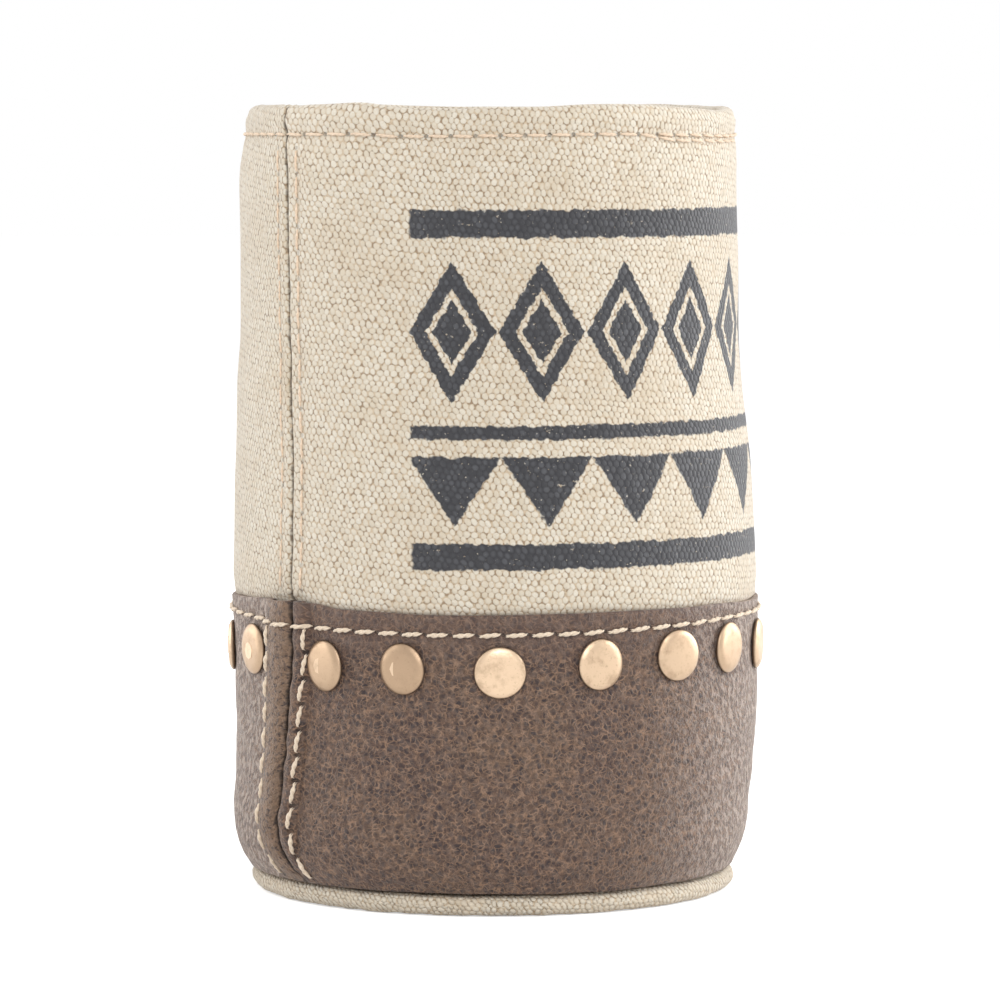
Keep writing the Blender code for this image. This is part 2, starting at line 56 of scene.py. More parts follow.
camera.location = CAMERA_AT
camera.rotation_euler = (CAMERA_TILT, 0, 0)
bpy.context.scene.collection.objects.link(camera)
bpy.context.scene.camera = camera
bpy.context.scene.view_settings.view_transform = "Standard"

ROOM_LIGHT = 0.55
world = bpy.data.worlds.new("white_room")
bpy.context.scene.world = world
world.use_nodes = True


def wired(tree, kind, inputs, **settings):
    """A node with its settings made and its inputs filled, each from a value or another node's socket."""
    node = tree.nodes.new(kind)
    for name, value in settings.items():
        setattr(node, name, value)
    for name, value in inputs.items():
        if isinstance(value, bpy.types.NodeSocket):
            tree.links.new(value, node.inputs[name])
        else:
            node.inputs[name].default_value = value
    return node


def maths(tree, operation, *values):
    return wired(tree, "ShaderNodeMath", dict(enumerate(values)), operation=operation).outputs[0]


def times(tree, *values):
    return maths(tree, "MULTIPLY", *values)


def minus(tree, *values):
    return maths(tree, "SUBTRACT", *values)


def seen_white(tree):
    """1 for the rays that look at the background, straight or in a reflection, otherwise 0."""
    ray = tree.nodes.new("ShaderNodeLightPath").outputs
    straight = maths(tree, "MAXIMUM", ray["Is Camera Ray"], ray["Is Transmission Ray"])
    return maths(tree, "MAXIMUM", straight, ray["Is Glossy Ray"])


room = world.node_tree
room_light = maths(room, "MULTIPLY_ADD", seen_white(room), 1 - ROOM_LIGHT, ROOM_LIGHT)
room.links.new(room_light, room.nodes["Background"].inputs["Strength"])
room.nodes["Background"].inputs["Color"].default_value = (1, 1, 1, 1)

for name, place, size, power in (
    ("left_lamp", (-0.80, 0.30, 0.25), 0.9, 5.5),
    ("right_lamp", (0.80, 0.30, 0.25), 0.9, 9.0),
    ("front_lamp", (0.10, -1.00, 0.80), 0.9, 7.4),
):
    lamp = bpy.data.objects.new(name, bpy.data.lights.new(name, "AREA"))
    lamp.data.size = size
    lamp.data.energy = power
    lamp.location = place
    lamp.rotation_euler = (Vector((0, 0, RIM / 2)) - Vector(place)).to_track_quat("-Z", "Y").to_euler()
    bpy.context.scene.collection.objects.link(lamp)

# The table under the sleeve is matt white, and only the sleeve's soft contact shadow shows on it.
FLOOR_REACH = 4.0
FLOOR_GLOW = 0.55
floor_bm = bmesh.new()
bmesh.ops.create_grid(floor_bm, x_segments=1, y_segments=1, size=FLOOR_REACH)
floor_mesh = bpy.data.meshes.new("floor")
floor_bm.to_mesh(floor_mesh)
floor_bm.free()
floor = bpy.data.objects.new("floor", floor_mesh)
bpy.context.scene.collection.objects.link(floor)
table = bpy.data.materials.new("white_table")
table.use_nodes = True
table_paint = table.node_tree.nodes["Principled BSDF"].inputs
table_paint["Base Color"].default_value = (0.82, 0.82, 0.82, 1)
table_paint["Roughness"].default_value = 1.0
table_paint["Specular IOR Level"].default_value = 0.0
table_paint["Emission Color"].default_value = (1, 1, 1, 1)
glow = maths(table.node_tree, "MULTIPLY", seen_white(table.node_tree), FLOOR_GLOW)
table.node_tree.links.new(glow, table_paint["Emission Strength"])
floor_mesh.materials.append(table)

# The canvas wall is one panel of heavy unbleached plain weave, wrapped once round and closed at the side
# seam. Its top is turned down inside as a soft wavy hem, its foot is turned in over the base, and blocks
# of charcoal ink are printed on its front.
BAND_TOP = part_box("leather_band")[1][2]
CANVAS = 0.0009
LEATHER = 0.0010
CLEAR = 0.00025
CANVAS_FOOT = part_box("outer_canvas")[0][2]
NECK = 0.082
TUCK = 0.014
RIM_RADIUS = 0.0369
RIM_DRAW = 0.0007
BAND_RADIUS = 0.03845
WAIST_RADIUS = 0.0377
FOOT_RADIUS = 0.0358
EDGE_RADIUS = 0.0325
HEM = 0.0085
HEM_BEND = 0.00115
HEM_ROW = RIM - 0.0041
ROUND = 0.0375  # radius at which a turn is laid out flat
SEAM = math.radians(-48.2)
STRAY_REACH = math.radians(30)
CANVAS_SEAM = (  # the seam's azimuth in degrees, by height
    (0.0, -49.8), (0.045, -49.8), (0.060, -49.4), (0.074, -50.2), (0.089, -52.0), (0.1035, -52.4),
    (0.1075, -52.6), (0.1125, -54.3), (RIM, -56.2),
)
SLOUCH = (  # how far the soft tube stands to one side, by height
    (0.000, 0.0001), (0.0055, -0.0004), (0.0125, -0.0002), (0.018, 0.0003), (0.0265, 0.0006),
    (0.036, 0.0005), (0.0475, 0.00035), (0.063, 0.0001), (0.078, -0.0005), (0.090, -0.0005),
    (0.106, -0.0007), (0.1125, -0.0004), (RIM, -0.0002),
)
BAND_EDGE = (  # how far the leather's cut edge stands over its height, by azimuth
    (-180, 0.0), (-90, -0.0004), (-76, 0.0003), (-55, 0.0009), (-47, 0.0011), (-42, 0.0008), (-35, 0.0003),
    (-13, 0.0), (23, 0.0002), (55, 0.0001), (75, -0.0004), (95, -0.0005), (130, -0.0002), (180, 0.0),
)
BULGE = (  # how far the padding pushes the canvas out, by height
    (0.0438, 0.0), (0.0448, 0.0008), (0.048, 0.0011), (0.063, 0.0011), (0.075, 0.0008), (0.090, 0.0005),
    (0.105, 0.0004), (0.113, 0.0002), (RIM, 0.0001),
)
RIM_LINE = (  # how far the rim stands over or under its height, by azimuth
    (-180, -0.0001), (-140, 0.0003), (-105, -0.0002), (-72, 0.00015), (-52, 0.00015), (-33, 0.00040),
    (-20, -0.00036), (-7, -0.00028), (4, 0.0), (25, 0.00038), (38, 0.00038), (50, 0.0), (70, -0.00050),
    (100, 0.0), (135, 0.0003), (160, -0.0004), (180, -0.0001),
)


def between(table, place):
    """Value of a table of (place, value) at a place, on smooth curves."""
    for (low, below), (high, above) in zip(table, table[1:]):
        if place <= high:
            share = min(1.0, max(0.0, (place - low) / (high - low)))
            return below + (above - below) * share * share * (3 - 2 * share)
    return table[-1][1]


def wall_radius(z):
    """Radius of the canvas's outer face at height z."""
    if z < TUCK:
        return WAIST_RADIUS - (WAIST_RADIUS - FOOT_RADIUS) * ((TUCK - z) / (TUCK - CANVAS_FOOT)) ** 3
    if z < BAND_TOP:
        return WAIST_RADIUS + (BAND_RADIUS - WAIST_RADIUS) * (z - TUCK) / (BAND_TOP - TUCK)
    if z < NECK:
        return RIM_RADIUS + (BAND_RADIUS - RIM_RADIUS) * ((NECK - z) / (NECK - BAND_TOP)) ** 0.8
    return RIM_RADIUS - RIM_DRAW * max(0.0, (z - RIM + HEM) / HEM)


def canvas_seam(z):
    """Azimuth of the canvas's seam, in degrees."""
    stray = 0.25 * noise.noise(Vector((0.4, 0.1, z * 190))) + 0.20 * noise.noise(Vector((0.4, 2.1, z * 620)))
    return between(CANVAS_SEAM, z) + stray


def rim_rise(degrees, z):
    """How far the rim's line lifts what is at an azimuth."""
    return between(RIM_LINE, degrees) * max(0.0, 1 - (RIM - z) / (1.3 * HEM)) ** 2


def on_wall(radius, turn, z, seam=canvas_seam, rise=rim_rise):
    """Point at a turn from the side seam, which strays as it was sewn, on the tube as it slouches."""
    from_seam = min(turn % math.tau, -turn % math.tau)
    stray = math.radians(seam(z)) - SEAM
    azimuth = SEAM + turn + stray * max(0.0, 1 - from_seam / STRAY_REACH)
    lifted = z + rise((math.degrees(azimuth) + 180) % 360 - 180, z)
    return Vector((radius * math.sin(azimuth) + between(SLOUCH, z), -radius * math.cos(azimuth), lifted))


class Panel:
    """A flat cloth wrapped round the tube: its meridian from edge to edge, its columns from seam to seam,
    and the relief that sewing and handling leave on it."""

    def __init__(self, line, spacing, columns, relief=None, fold=None, seam=canvas_seam, rise=rim_rise):
        points = [line[0]]
        for start, end in zip(line, line[1:]):
            parts = max(1, math.ceil((end - start).length / spacing))
            points += [start.lerp(end, k / parts) for k in range(1, parts + 1)]
        self.rows = []
        for k, point in enumerate(points):
            along = points[min(k + 1, len(points) - 1)] - points[max(k - 1, 0)]
            self.rows.append((point, Vector((along.y, -along.x)).normalized()))
        self.runs = [0.0]
        for before, after in zip(points, points[1:]):
            self.runs.append(self.runs[-1] + (after - before).length)
        self.columns = columns
        self.relief = relief or (lambda turn, run, z: 0.0)
        self.fold = fold or (lambda z: 1.0)
        self.seam, self.rise = seam, rise

    def run_at(self, z):
        """Distance along the meridian, from its foot, of the outer face at height z."""
        for k, (point, _) in enumerate(self.rows):
            if point.y >= z and self.rows[k - 1][0].y < z and k:
                low = self.rows[k - 1][0].y
                return self.runs[k - 1] + (self.runs[k] - self.runs[k - 1]) * (z - low) / (point.y - low)
        return 0.0

    def lift_at(self, turn):
        turn = turn % math.tau
        outer = self.columns[FOLD_STEPS:-FOLD_STEPS] if self.columns[0][1] < 0 else self.columns
        for (turn_a, lift_a), (turn_b, lift_b) in zip(outer, outer[1:]):
            if turn_a <= turn <= turn_b:
                return lift_a + (lift_b - lift_a) * (turn - turn_a) / max(turn_b - turn_a, 1e-9)
        return outer[0][1]

    def place(self, turn, run, lift=None, height=0.0):
        """Point of the outer face, or at a height over it."""
        k = min(len(self.runs) - 1, max(1, bisect_left(self.runs, run)))
        share = min(1.0, max(0.0, (run - self.runs[k - 1]) / (self.runs[k] - self.runs[k - 1])))
        (point_a, normal_a), (point_b, normal_b) = self.rows[k - 1], self.rows[k]
        point, normal = point_a.lerp(point_b, share), normal_a.lerp(normal_b, share)
        lift = self.lift_at(turn) if lift is None else lift
        lift *= self.fold(point.y)
        point = point + normal * (lift + self.relief(turn, run, point.y) + height)
        return on_wall(point.x, turn, point.y, self.seam, self.rise)

    def mesh(self, whole=(0.0, math.inf)):
        """The cloth's outer face, with its flat shape in metres as its UV map. Its turned-under ends are
        left out beyond the whole runs."""
        across, up = len(self.columns) - 1, len(self.rows) - 1
        bm = bmesh.new()
        flat = bm.loops.layers.uv.new("cloth")
        bmesh.ops.create_grid(bm, x_segments=across, y_segments=up, size=1)
        uv_of, cut_away = {}, []
        for vert in bm.verts:
            i = round((vert.co.x + 1) / 2 * across)
            j = round((vert.co.y + 1) / 2 * up)
            turn, lift = self.columns[i]
            uv_of[vert] = (turn * ROUND, self.runs[j])
            vert.co = self.place(turn, self.runs[j], lift)
            if min(i, across - i) < FOLD_STEPS // 2 and not whole[0] <= self.runs[j] <= whole[1]:
                cut_away.append(vert)
        for face in bm.faces:
            for loop in face.loops:
                loop[flat].uv = uv_of[loop.vert]
        if self.columns[0][1] < 0:
            bmesh.ops.delete(bm, geom=cut_away, context="VERTS")
        bm.normal_update()
        widest = max(bm.faces, key=lambda face: face.calc_center_median().xy.length)
        if widest.normal.xy.dot(widest.calc_center_median().xy) < 0:
            bmesh.ops.reverse_faces(bm, faces=bm.faces)
        return bm


FOLD_STEPS = 8


def folded_columns(allowances, bend, lift, spacing):
    """(turn, lift) of a panel's columns: each end is turned under, over its own allowance's width."""
    ends = []
    for allowance in allowances:
        end = []
        for k in range(FOLD_STEPS + 1):
            angle = math.pi * (1 - k / FOLD_STEPS)
            end.append((0.00006 + bend * (1 - math.sin(angle)), lift - bend + bend * math.cos(angle)))
        if lift:
            for k in range(1, 4):
                end.append((bend + (allowance - bend) * k / 3, lift))
            for k in range(1, 7):
                share = k / 6
                end.append((allowance + 0.9 * bend * share, lift * (1 - share * share * (3 - 2 * share))))
        ends.append([(across / ROUND, rise) for across, rise in end])
    start, stop = ends[0][-1][0], math.tau - ends[1][-1][0]
    steps = round((stop - start) * ROUND / spacing)
    flat = [(start + (stop - start) * k / steps, 0.0) for k in range(1, steps)]
    return ends[0] + flat + [(math.tau - turn, rise) for turn, rise in reversed(ends[1])]


def add_piece(name, bm, *finishes):
    """A finished mesh becomes a piece of the sleeve."""
    mesh = bpy.data.meshes.new(name)
    bm.to_mesh(mesh)
    bm.free()
    mesh.shade_smooth()
    piece = bpy.data.objects.new(name, mesh)
    bpy.context.scene.collection.objects.link(piece)
    for finish in finishes:
        mesh.materials.append(finish)
    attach(piece, "root")
    return piece


def give_thickness(piece, thickness):
    """The outer face stays where it is, and the cloth's thickness goes behind it."""
    solid = piece.modifiers.new("thickness", "SOLIDIFY")
    solid.thickness = thickness
    solid.offset = -1
    solid.use_even_offset = True


canvas_line = [Vector((EDGE_RADIUS, CANVAS_FOOT))]
canvas_line += [Vector((wall_radius(z), z)) for z in (CANVAS_FOOT, 0.007, 0.010, TUCK)]
canvas_line += [Vector((wall_radius(z), z)) for z in (0.030, BAND_TOP - 0.002)]
canvas_line += [Vector((wall_radius(z), z)) for z in (BAND_TOP, 0.050, 0.060, 0.072, NECK, RIM - HEM)]
canvas_line += [Vector((wall_radius(z), z)) for z in (RIM - 0.0060, HEM_ROW, RIM - 0.0025, RIM - HEM_BEND)]
roll_middle = canvas_line[-1] - Vector((HEM_BEND, 0))
for k in range(1, 9):
    angle = math.pi * k / 8
    canvas_line.append(roll_middle + HEM_BEND * Vector((math.cos(angle), math.sin(angle))))
canvas_line.append(Vector((wall_radius(RIM - HEM) - 2 * HEM_BEND, RIM - HEM)))

STITCH = 0.0038
HEM_STITCHES = 64
HEM_STITCH = math.tau * ROUND / HEM_STITCHES
SEAM_ROW = 0.0023  # from the seam to the canvas's rows of stitches beside it


def pull(distance, reach):
    """How much of a stitch's pull is left at a distance from it."""
    return math.exp(-((distance / reach) ** 2))


def canvas_relief(turn, run, z):
    """Soft bulges of the wall, the hem drawn in by its stitches, and the pull of the seam's rows."""
    across = turn * ROUND
    round_x, round_y = math.sin(turn) * 2.2, math.cos(turn) * 2.2
    soft = 0.00020 * noise.noise(Vector((round_x, round_y, z * 38)))
    soft += 0.00010 * noise.noise(Vector((round_x * 2.7, round_y * 2.7, z * 110)))
    edge = between(BAND_EDGE, (math.degrees(SEAM + turn) + 180) % 360 - 180)
    pushed = between(BULGE, z - edge)
    if z < BAND_TOP:
        return pushed
    seam_side = min(turn, math.tau - turn) * ROUND
    needle = 0.5 + 0.5 * math.cos(math.tau * run / STITCH)
    sewn = -0.00020 * pull(seam_side - SEAM_ROW, 0.0007) * (0.55 + 0.45 * needle)
    if run <= canvas_run_top:
        stitch = 0.5 + 0.5 * math.cos(math.tau * across / HEM_STITCH)
        sewn -= 0.00032 * pull(z - HEM_ROW, 0.0008) * (0.6 + 0.4 * stitch)
        sewn += 0.00022 * pull(z - RIM + 0.0019, 0.0013)
    return soft * min(1.0, (z - BAND_TOP) / 0.004) + sewn + pushed


CANVAS_BEND = 0.00095
CANVAS_ALLOWANCES = (0.0026, 0.0058)  # turned under in front of the seam and behind it
canvas_columns = folded_columns(CANVAS_ALLOWANCES, CANVAS_BEND, 0.0, 0.00080)
canvas_wall = Panel(
    canvas_line, 0.00085, canvas_columns, canvas_relief, lambda z: 0.65 if z > RIM - HEM else 1.0
)
canvas_run_top = canvas_wall.run_at(RIM - HEM_BEND)


def effect(name, takes, gives):
    """An empty node group with its named sockets."""
    tree = bpy.data.node_groups.new(name, "ShaderNodeTree")
    for socket, value in takes.items():
        kind = "NodeSocketVector" if value is None else "NodeSocketFloat"
        made = tree.interface.new_socket(socket, in_out="INPUT", socket_type=kind)
        if value is not None:
            made.default_value = value
    for socket in gives:
        tree.interface.new_socket(socket, in_out="OUTPUT", socket_type="NodeSocketFloat")
    return tree, tree.nodes.new("NodeGroupInput").outputs, tree.nodes.new("NodeGroupOutput").inputs


def step(tree, value, low, high, to_low=0.0, to_high=1.0):
    """Runs smoothly from to_low to to_high as the value goes from low to high."""
    inputs = {"Value": value, "From Min": low, "From Max": high, "To Min": to_low, "To Max": to_high}
    return wired(tree, "ShaderNodeMapRange", inputs, interpolation_type="SMOOTHSTEP").outputs["Result"]


def cloudy(tree, vector, scale, detail=2.0, roughness=0.5):
    inputs = {"Vector": vector, "Scale": scale, "Detail": detail, "Roughness": roughness}
    return wired(tree, "ShaderNodeTexNoise", inputs).outputs["Fac"]


def blended(tree, share, colour_a, colour_b):
    """Colour between two, by share."""
    mix = tree.nodes.new("ShaderNodeMix")
    mix.data_type = "RGBA"
    for socket, value in ((mix.inputs[0], share), (mix.inputs[6], colour_a), (mix.inputs[7], colour_b)):
        if isinstance(value, bpy.types.NodeSocket):
            tree.links.new(value, socket)
        else:
            socket.default_value = (*value, 1) if socket is not mix.inputs[0] and len(value) == 3 else value
    return mix.outputs[2]


# plain_weave: oval nodules of yarn in staggered rows, all leaning one way, over a darker ground
NODULE = (0.455, 0.60)  # half across and half up, in yarns and rows
weave, takes, gives = effect(
    "plain_weave",
    {"Vector": None, "Yarn": 0.00096, "Row": 0.00087, "Skew": 0.08, "Uneven": 0.75},
    ("Height", "Tone"),
)
cloth_axes = wired(weave, "ShaderNodeSeparateXYZ", {0: takes["Vector"]}).outputs
yarns = maths(weave, "DIVIDE", cloth_axes[0], takes["Yarn"])
rows = maths(weave, "MULTIPLY_ADD", cloth_axes[0], takes["Skew"], cloth_axes[1])
rows = maths(weave, "DIVIDE", rows, takes["Row"])
for scale, far in ((420.0, 1.0), (75.0, 2.2)):
    drift = wired(weave, "ShaderNodeTexNoise", {"Vector": takes["Vector"], "Scale": scale, "Detail": 1.0})
    drift = wired(weave, "ShaderNodeSeparateXYZ", {0: drift.outputs["Color"]}).outputs
    far = times(weave, takes["Uneven"], far)
    yarns = maths(weave, "MULTIPLY_ADD", minus(weave, drift[0], 0.5), far, yarns)
    rows = maths(weave, "MULTIPLY_ADD", minus(weave, drift[1], 0.5), far, rows)
nodules = []
for shift in (0.0, 0.5):
    yarn_place = maths(weave, "ADD", yarns, shift)
    row_place = maths(weave, "MULTIPLY_ADD", rows, 0.5, shift)
    yarn, row = maths(weave, "ROUND", yarn_place), maths(weave, "ROUND", row_place)
    cell = wired(weave, "ShaderNodeCombineXYZ", {0: yarn, 1: row, 2: shift}).outputs[0]
    chance = wired(weave, "ShaderNodeTexWhiteNoise", {"Vector": cell})
    moved = wired(weave, "ShaderNodeSeparateXYZ", {0: chance.outputs["Color"]}).outputs
    up = times(weave, minus(weave, row_place, row), 2.0)
    across = maths(weave, "MULTIPLY_ADD", up, 0.04, minus(weave, yarn_place, yarn))
    across = maths(weave, "MULTIPLY_ADD", minus(weave, moved[0], 0.5), 0.18, across)
    up = maths(weave, "MULTIPLY_ADD", minus(weave, moved[1], 0.5), 0.22, up)
    across = maths(weave, "POWER", maths(weave, "DIVIDE", across, NODULE[0]), 2.0)
    up = maths(weave, "POWER", maths(weave, "DIVIDE", up, NODULE[1]), 2.0)
    crown = maths(weave, "MAXIMUM", minus(weave, 1.0, maths(weave, "ADD", across, up)), 0.0)
    size = maths(weave, "MULTIPLY_ADD", moved[2], 0.55, 0.60)
    crown = times(weave, maths(weave, "POWER", crown, 0.75), size)
    nodules.append((crown, chance.outputs["Value"]))
(crown_a, tone_a), (crown_b, tone_b) = nodules
first_up = maths(weave, "GREATER_THAN", crown_a, crown_b)
tone = maths(weave, "MULTIPLY_ADD", minus(weave, tone_a, tone_b), first_up, tone_b)
weave.links.new(maths(weave, "MAXIMUM", crown_a, crown_b), gives["Height"])
weave.links.new(tone, gives["Tone"])

# needle_holes: small round holes in a row
needle_holes, takes, gives = effect(
    "needle_holes", {"Along": 0.0, "Across": 0.0, "Pitch": STITCH, "Radius": 0.00033}, ("Hole",)
)
pitches = maths(needle_holes, "DIVIDE", takes["Along"], takes["Pitch"])
from_hole = minus(needle_holes, pitches, maths(needle_holes, "ROUND", pitches))
from_hole = times(needle_holes, from_hole, takes["Pitch"])
square = maths(needle_holes, "POWER", takes["Across"], 2.0)
square = maths(needle_holes, "MULTIPLY_ADD", from_hole, from_hole, square)
distance = maths(needle_holes, "DIVIDE", maths(needle_holes, "SQRT", square), takes["Radius"])
needle_holes.links.new(step(needle_holes, distance, 0.5, 1.15, 1.0, 0.0), gives["Hole"])


def cloth_material(name):
    """A material that reads the cloth's flat shape: its tree, shader inputs, and map."""
    made = bpy.data.materials.new(name)
    made.use_nodes = True
    tree = made.node_tree
    vector = wired(tree, "ShaderNodeUVMap", {}, uv_map="cloth").outputs[0]
    return made, tree, tree.nodes["Principled BSDF"].inputs, vector


def bumped(tree, shader, *layers):
    """Lays bumps on one another: each a height and the distance in metres that it stands for."""
    normal = None
    for height, distance in layers:
        inputs = {"Height": height, "Distance": distance, "Strength": 1.0}
        if normal:
            inputs["Normal"] = normal
        normal = wired(tree, "ShaderNodeBump", inputs).outputs[0]
    tree.links.new(normal, shader["Normal"])


def use_effect(tree, group, inputs):
    return wired(tree, "ShaderNodeGroup", inputs, node_tree=group).outputs


YARN_LIGHT = (0.80, 0.745, 0.640)
YARN_DARK = (0.71, 0.635, 0.515)
YARN_GAP_SHADE = (0.34, 0.245, 0.155)
YARN_BEHIND = (0.62, 0.495, 0.350)
YARN_STAIN = (0.62, 0.50, 0.35)
SEAM_SHADE = (0.10, 0.075, 0.055)
INK = (0.034, 0.036, 0.044)
INK_LIT = (0.080, 0.083, 0.095)
PRINT_TURNS = (math.radians(30), math.radians(150))
MOTIF_TURN = math.radians(20)
LOZENGE = (0.0745, 0.0955)
PENNANT = (0.0570, 0.0670)
STRIPES = ((0.0508, 0.0545), (0.0695, 0.0715), (0.0985, 0.1025))


def canvas_colour(tree, vector, threads):
    """Colour of the bare weave: light nodules and warm stains, with painted shade in the gaps and towards
    each nodule's foot, lighter where the yarn behind shows.
    """
    colour = blended(tree, threads["Tone"], YARN_DARK, YARN_LIGHT)
    stain = step(tree, cloudy(tree, vector, 60.0, 3.0), 0.45, 0.75, 0.0, 0.40)
    colour = blended(tree, stain, colour, YARN_STAIN)
    patch = step(tree, cloudy(tree, vector, 320.0, 2.0), 0.55, 0.75, 0.0, 0.35)
    colour = blended(tree, patch, colour, YARN_STAIN)
    fibre = step(tree, cloudy(tree, vector, 4300.0, 2.0, 0.7), 0.35, 0.65, 0.0, 0.30)
    colour = blended(tree, fibre, colour, YARN_STAIN)
    # Painted shade: the gaps between the nodules and the nodules' feet are darkened; in places the yarn
    # behind shows lighter.
    shut = step(tree, cloudy(tree, vector, 1500.0, 2.0), 0.40, 0.56)
    gap = blended(tree, shut, YARN_GAP_SHADE, YARN_BEHIND)
    return blended(tree, step(tree, threads["Height"], 0.0, 0.50), gap, colour)


def seam_shade(tree, across, along, half):
    """1 in the dark slit of a seam, whose width varies."""
    wavy = cloudy(tree, wired(tree, "ShaderNodeCombineXYZ", {0: along}).outputs[0], 420.0, 2.0)
    wide = times(tree, step(tree, wavy, 0.3, 0.7, 0.45, 1.3), half)
    near = step(tree, maths(tree, "DIVIDE", maths(tree, "ABSOLUTE", across), wide), 0.7, 1.5, 1.0, 0.0)
    fine = wired(tree, "ShaderNodeCombineXYZ", {0: along, 1: 0.3}).outputs[0]
    return times(tree, near, step(tree, cloudy(tree, fine, 1100.0, 2.0), 0.35, 0.55, 0.45, 1.0))


def finish_canvas(tree, shader, colour, sheen):
    """The dry, fuzzy surface that all of the sleeve's canvas has."""
    tree.links.new(colour, shader["Base Color"])
    shader["Roughness"].default_value = 0.92
    shader["Specular IOR Level"].default_value = 0.2
    shader["Sheen Weight"].default_value = sheen


printed_canvas, tree, shader, vector = cloth_material("printed_canvas")
threads = use_effect(tree, weave, {"Vector": vector})
colour = canvas_colour(tree, vector, threads)
axes = wired(tree, "ShaderNodeSeparateXYZ", {0: vector}).outputs
ragged = wired(tree, "ShaderNodeTexNoise", {"Vector": vector, "Scale": 900.0, "Detail": 2.0}).outputs["Color"]
ragged = wired(tree, "ShaderNodeSeparateXYZ", {0: ragged}).outputs
ragged_x = maths(tree, "MULTIPLY_ADD", ragged[0], 0.0012, -0.0006)
ragged_y = maths(tree, "MULTIPLY_ADD", ragged[1], 0.0012, -0.0006)
motifs = maths(tree, "DIVIDE", maths(tree, "ADD", axes[0], ragged_x), MOTIF_TURN * ROUND)
motifs = minus(tree, motifs, PRINT_TURNS[0] / MOTIF_TURN)
motif_side = maths(tree, "ABSOLUTE", minus(tree, maths(tree, "FRACT", motifs), 0.5))
motif_side = times(tree, motif_side, 2.0)
height = maths(tree, "ADD", maths(tree, "ADD", axes[1], ragged_y), BAND_TOP - canvas_wall.run_at(BAND_TOP))


def inside(value, low, high, soft):
    """1 between low and high, with soft edges."""
    over_low = step(tree, value, low - soft, low + soft)
    return maths(tree, "MINIMUM", over_low, step(tree, value, high - soft, high + soft, 1.0, 0.0))


def lozenge_at(reach):
    """1 inside the lozenge that is a share of the full one."""
    up = maths(tree, "ABSOLUTE", minus(tree, height, sum(LOZENGE) / 2))
    up = maths(tree, "DIVIDE", up, (LOZENGE[1] - LOZENGE[0]) / 2)
    return step(tree, maths(tree, "ADD", up, motif_side), reach - 0.02, reach + 0.02, 1.0, 0.0)


ring = minus(tree, lozenge_at(0.60), lozenge_at(0.44))
inked = minus(tree, lozenge_at(0.97), ring)
pennant_up = maths(tree, "DIVIDE", minus(tree, height, PENNANT[0]), PENNANT[1] - PENNANT[0])
pennant = step(tree, minus(tree, pennant_up, motif_side), -0.03, 0.03)
pennant = times(tree, pennant, inside(height, *PENNANT, 0.00015))
inked = maths(tree, "MAXIMUM", inked, pennant)
for low, high in STRIPES:
    inked = maths(tree, "MAXIMUM", inked, inside(height, low, high, 0.00015))
in_block = inside(motifs, 0.03, (PRINT_TURNS[1] - PRINT_TURNS[0]) / MOTIF_TURN - 0.03, 0.02)
inked = times(tree, inked, in_block)
worn = step(tree, cloudy(tree, vector, 620.0, 4.0, 0.75), 0.63, 0.70, 0.0, 0.75)
speck = step(tree, cloudy(tree, vector, 2100.0, 1.0), 0.70, 0.76, 0.0, 0.7)
inked = times(tree, inked, minus(tree, 1.0, maths(tree, "MAXIMUM", worn, speck)))
# Painted light: the ink is lighter on the nodules' crowns, and its tone varies at random from nodule to
# nodule.
ink_lit = times(tree, threads["Tone"], step(tree, threads["Height"], 0.2, 0.9))
colour = blended(tree, times(tree, inked, 0.98), colour, blended(tree, ink_lit, INK, INK_LIT))
hem_across = minus(tree, axes[1], canvas_wall.run_at(HEM_ROW))
hem_holes = {"Along": axes[0], "Across": hem_across, "Pitch": HEM_STITCH}
hem_holes = use_effect(tree, needle_holes, hem_holes)["Hole"]
front_across = minus(tree, axes[0], SEAM_ROW)
back_across = minus(tree, axes[0], math.tau * ROUND - SEAM_ROW)
front_holes = use_effect(tree, needle_holes, {"Along": axes[1], "Across": front_across})["Hole"]
back_holes = use_effect(tree, needle_holes, {"Along": axes[1], "Across": back_across})["Hole"]
below_hem = step(tree, hem_across, -0.0006, -0.0001, 1.0, 0.0)
seam_holes = times(tree, maths(tree, "MAXIMUM", front_holes, back_holes), below_hem)
holes = maths(tree, "MAXIMUM", hem_holes, times(tree, seam_holes, 0.6))
colour = blended(tree, times(tree, holes, 0.5), colour, SEAM_SHADE)
from_seam = maths(tree, "MINIMUM", axes[0], minus(tree, math.tau * ROUND, axes[0]))
slit = seam_shade(tree, from_seam, axes[1], 0.00028)
colour = blended(tree, times(tree, slit, 0.75), colour, SEAM_SHADE)
finish_canvas(tree, shader, colour, 0.35)
shader["Sheen Roughness"].default_value = 0.6
fuzz = cloudy(tree, vector, 5200.0, 2.0, 0.7)
whole_cloth = minus(tree, 1.0, holes)
bumped(tree, shader, (threads["Height"], 0.00013), (fuzz, 0.00006), (whole_cloth, 0.0002))

whole_runs = (canvas_wall.run_at(TUCK), canvas_wall.run_at(RIM - HEM))
canvas_piece = add_piece("canvas_wall", canvas_wall.mesh(whole_runs), printed_canvas)
give_thickness(canvas_piece, CANVAS)
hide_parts("outer_canvas")

# The lining is a thin knitted tube behind the foam, sewn over the hem's raw edge, with a round of the same
# knit on the base. The foam between it and the canvas is one sheet that stops beside the seam.
LINING = 0.0004
FOAM = 0.0015
FOAM_DEPTH = CANVAS + CLEAR
LINING_DEPTH = FOAM_DEPTH + FOAM + CLEAR
LINING_TOP = RIM - 0.0025
FOAM_SHORT = (0.00285, 0.00605)  # how far the foam stops short of the seam, in front and behind
FOAM_DARK = (0.16, 0.16, 0.17)
FOAM_LIGHT = (0.30, 0.30, 0.31)
KNIT_DARK = (0.020, 0.020, 0.022)
KNIT_LIGHT = (0.062, 0.062, 0.066)
KNIT_FADED = (0.10, 0.10, 0.105)


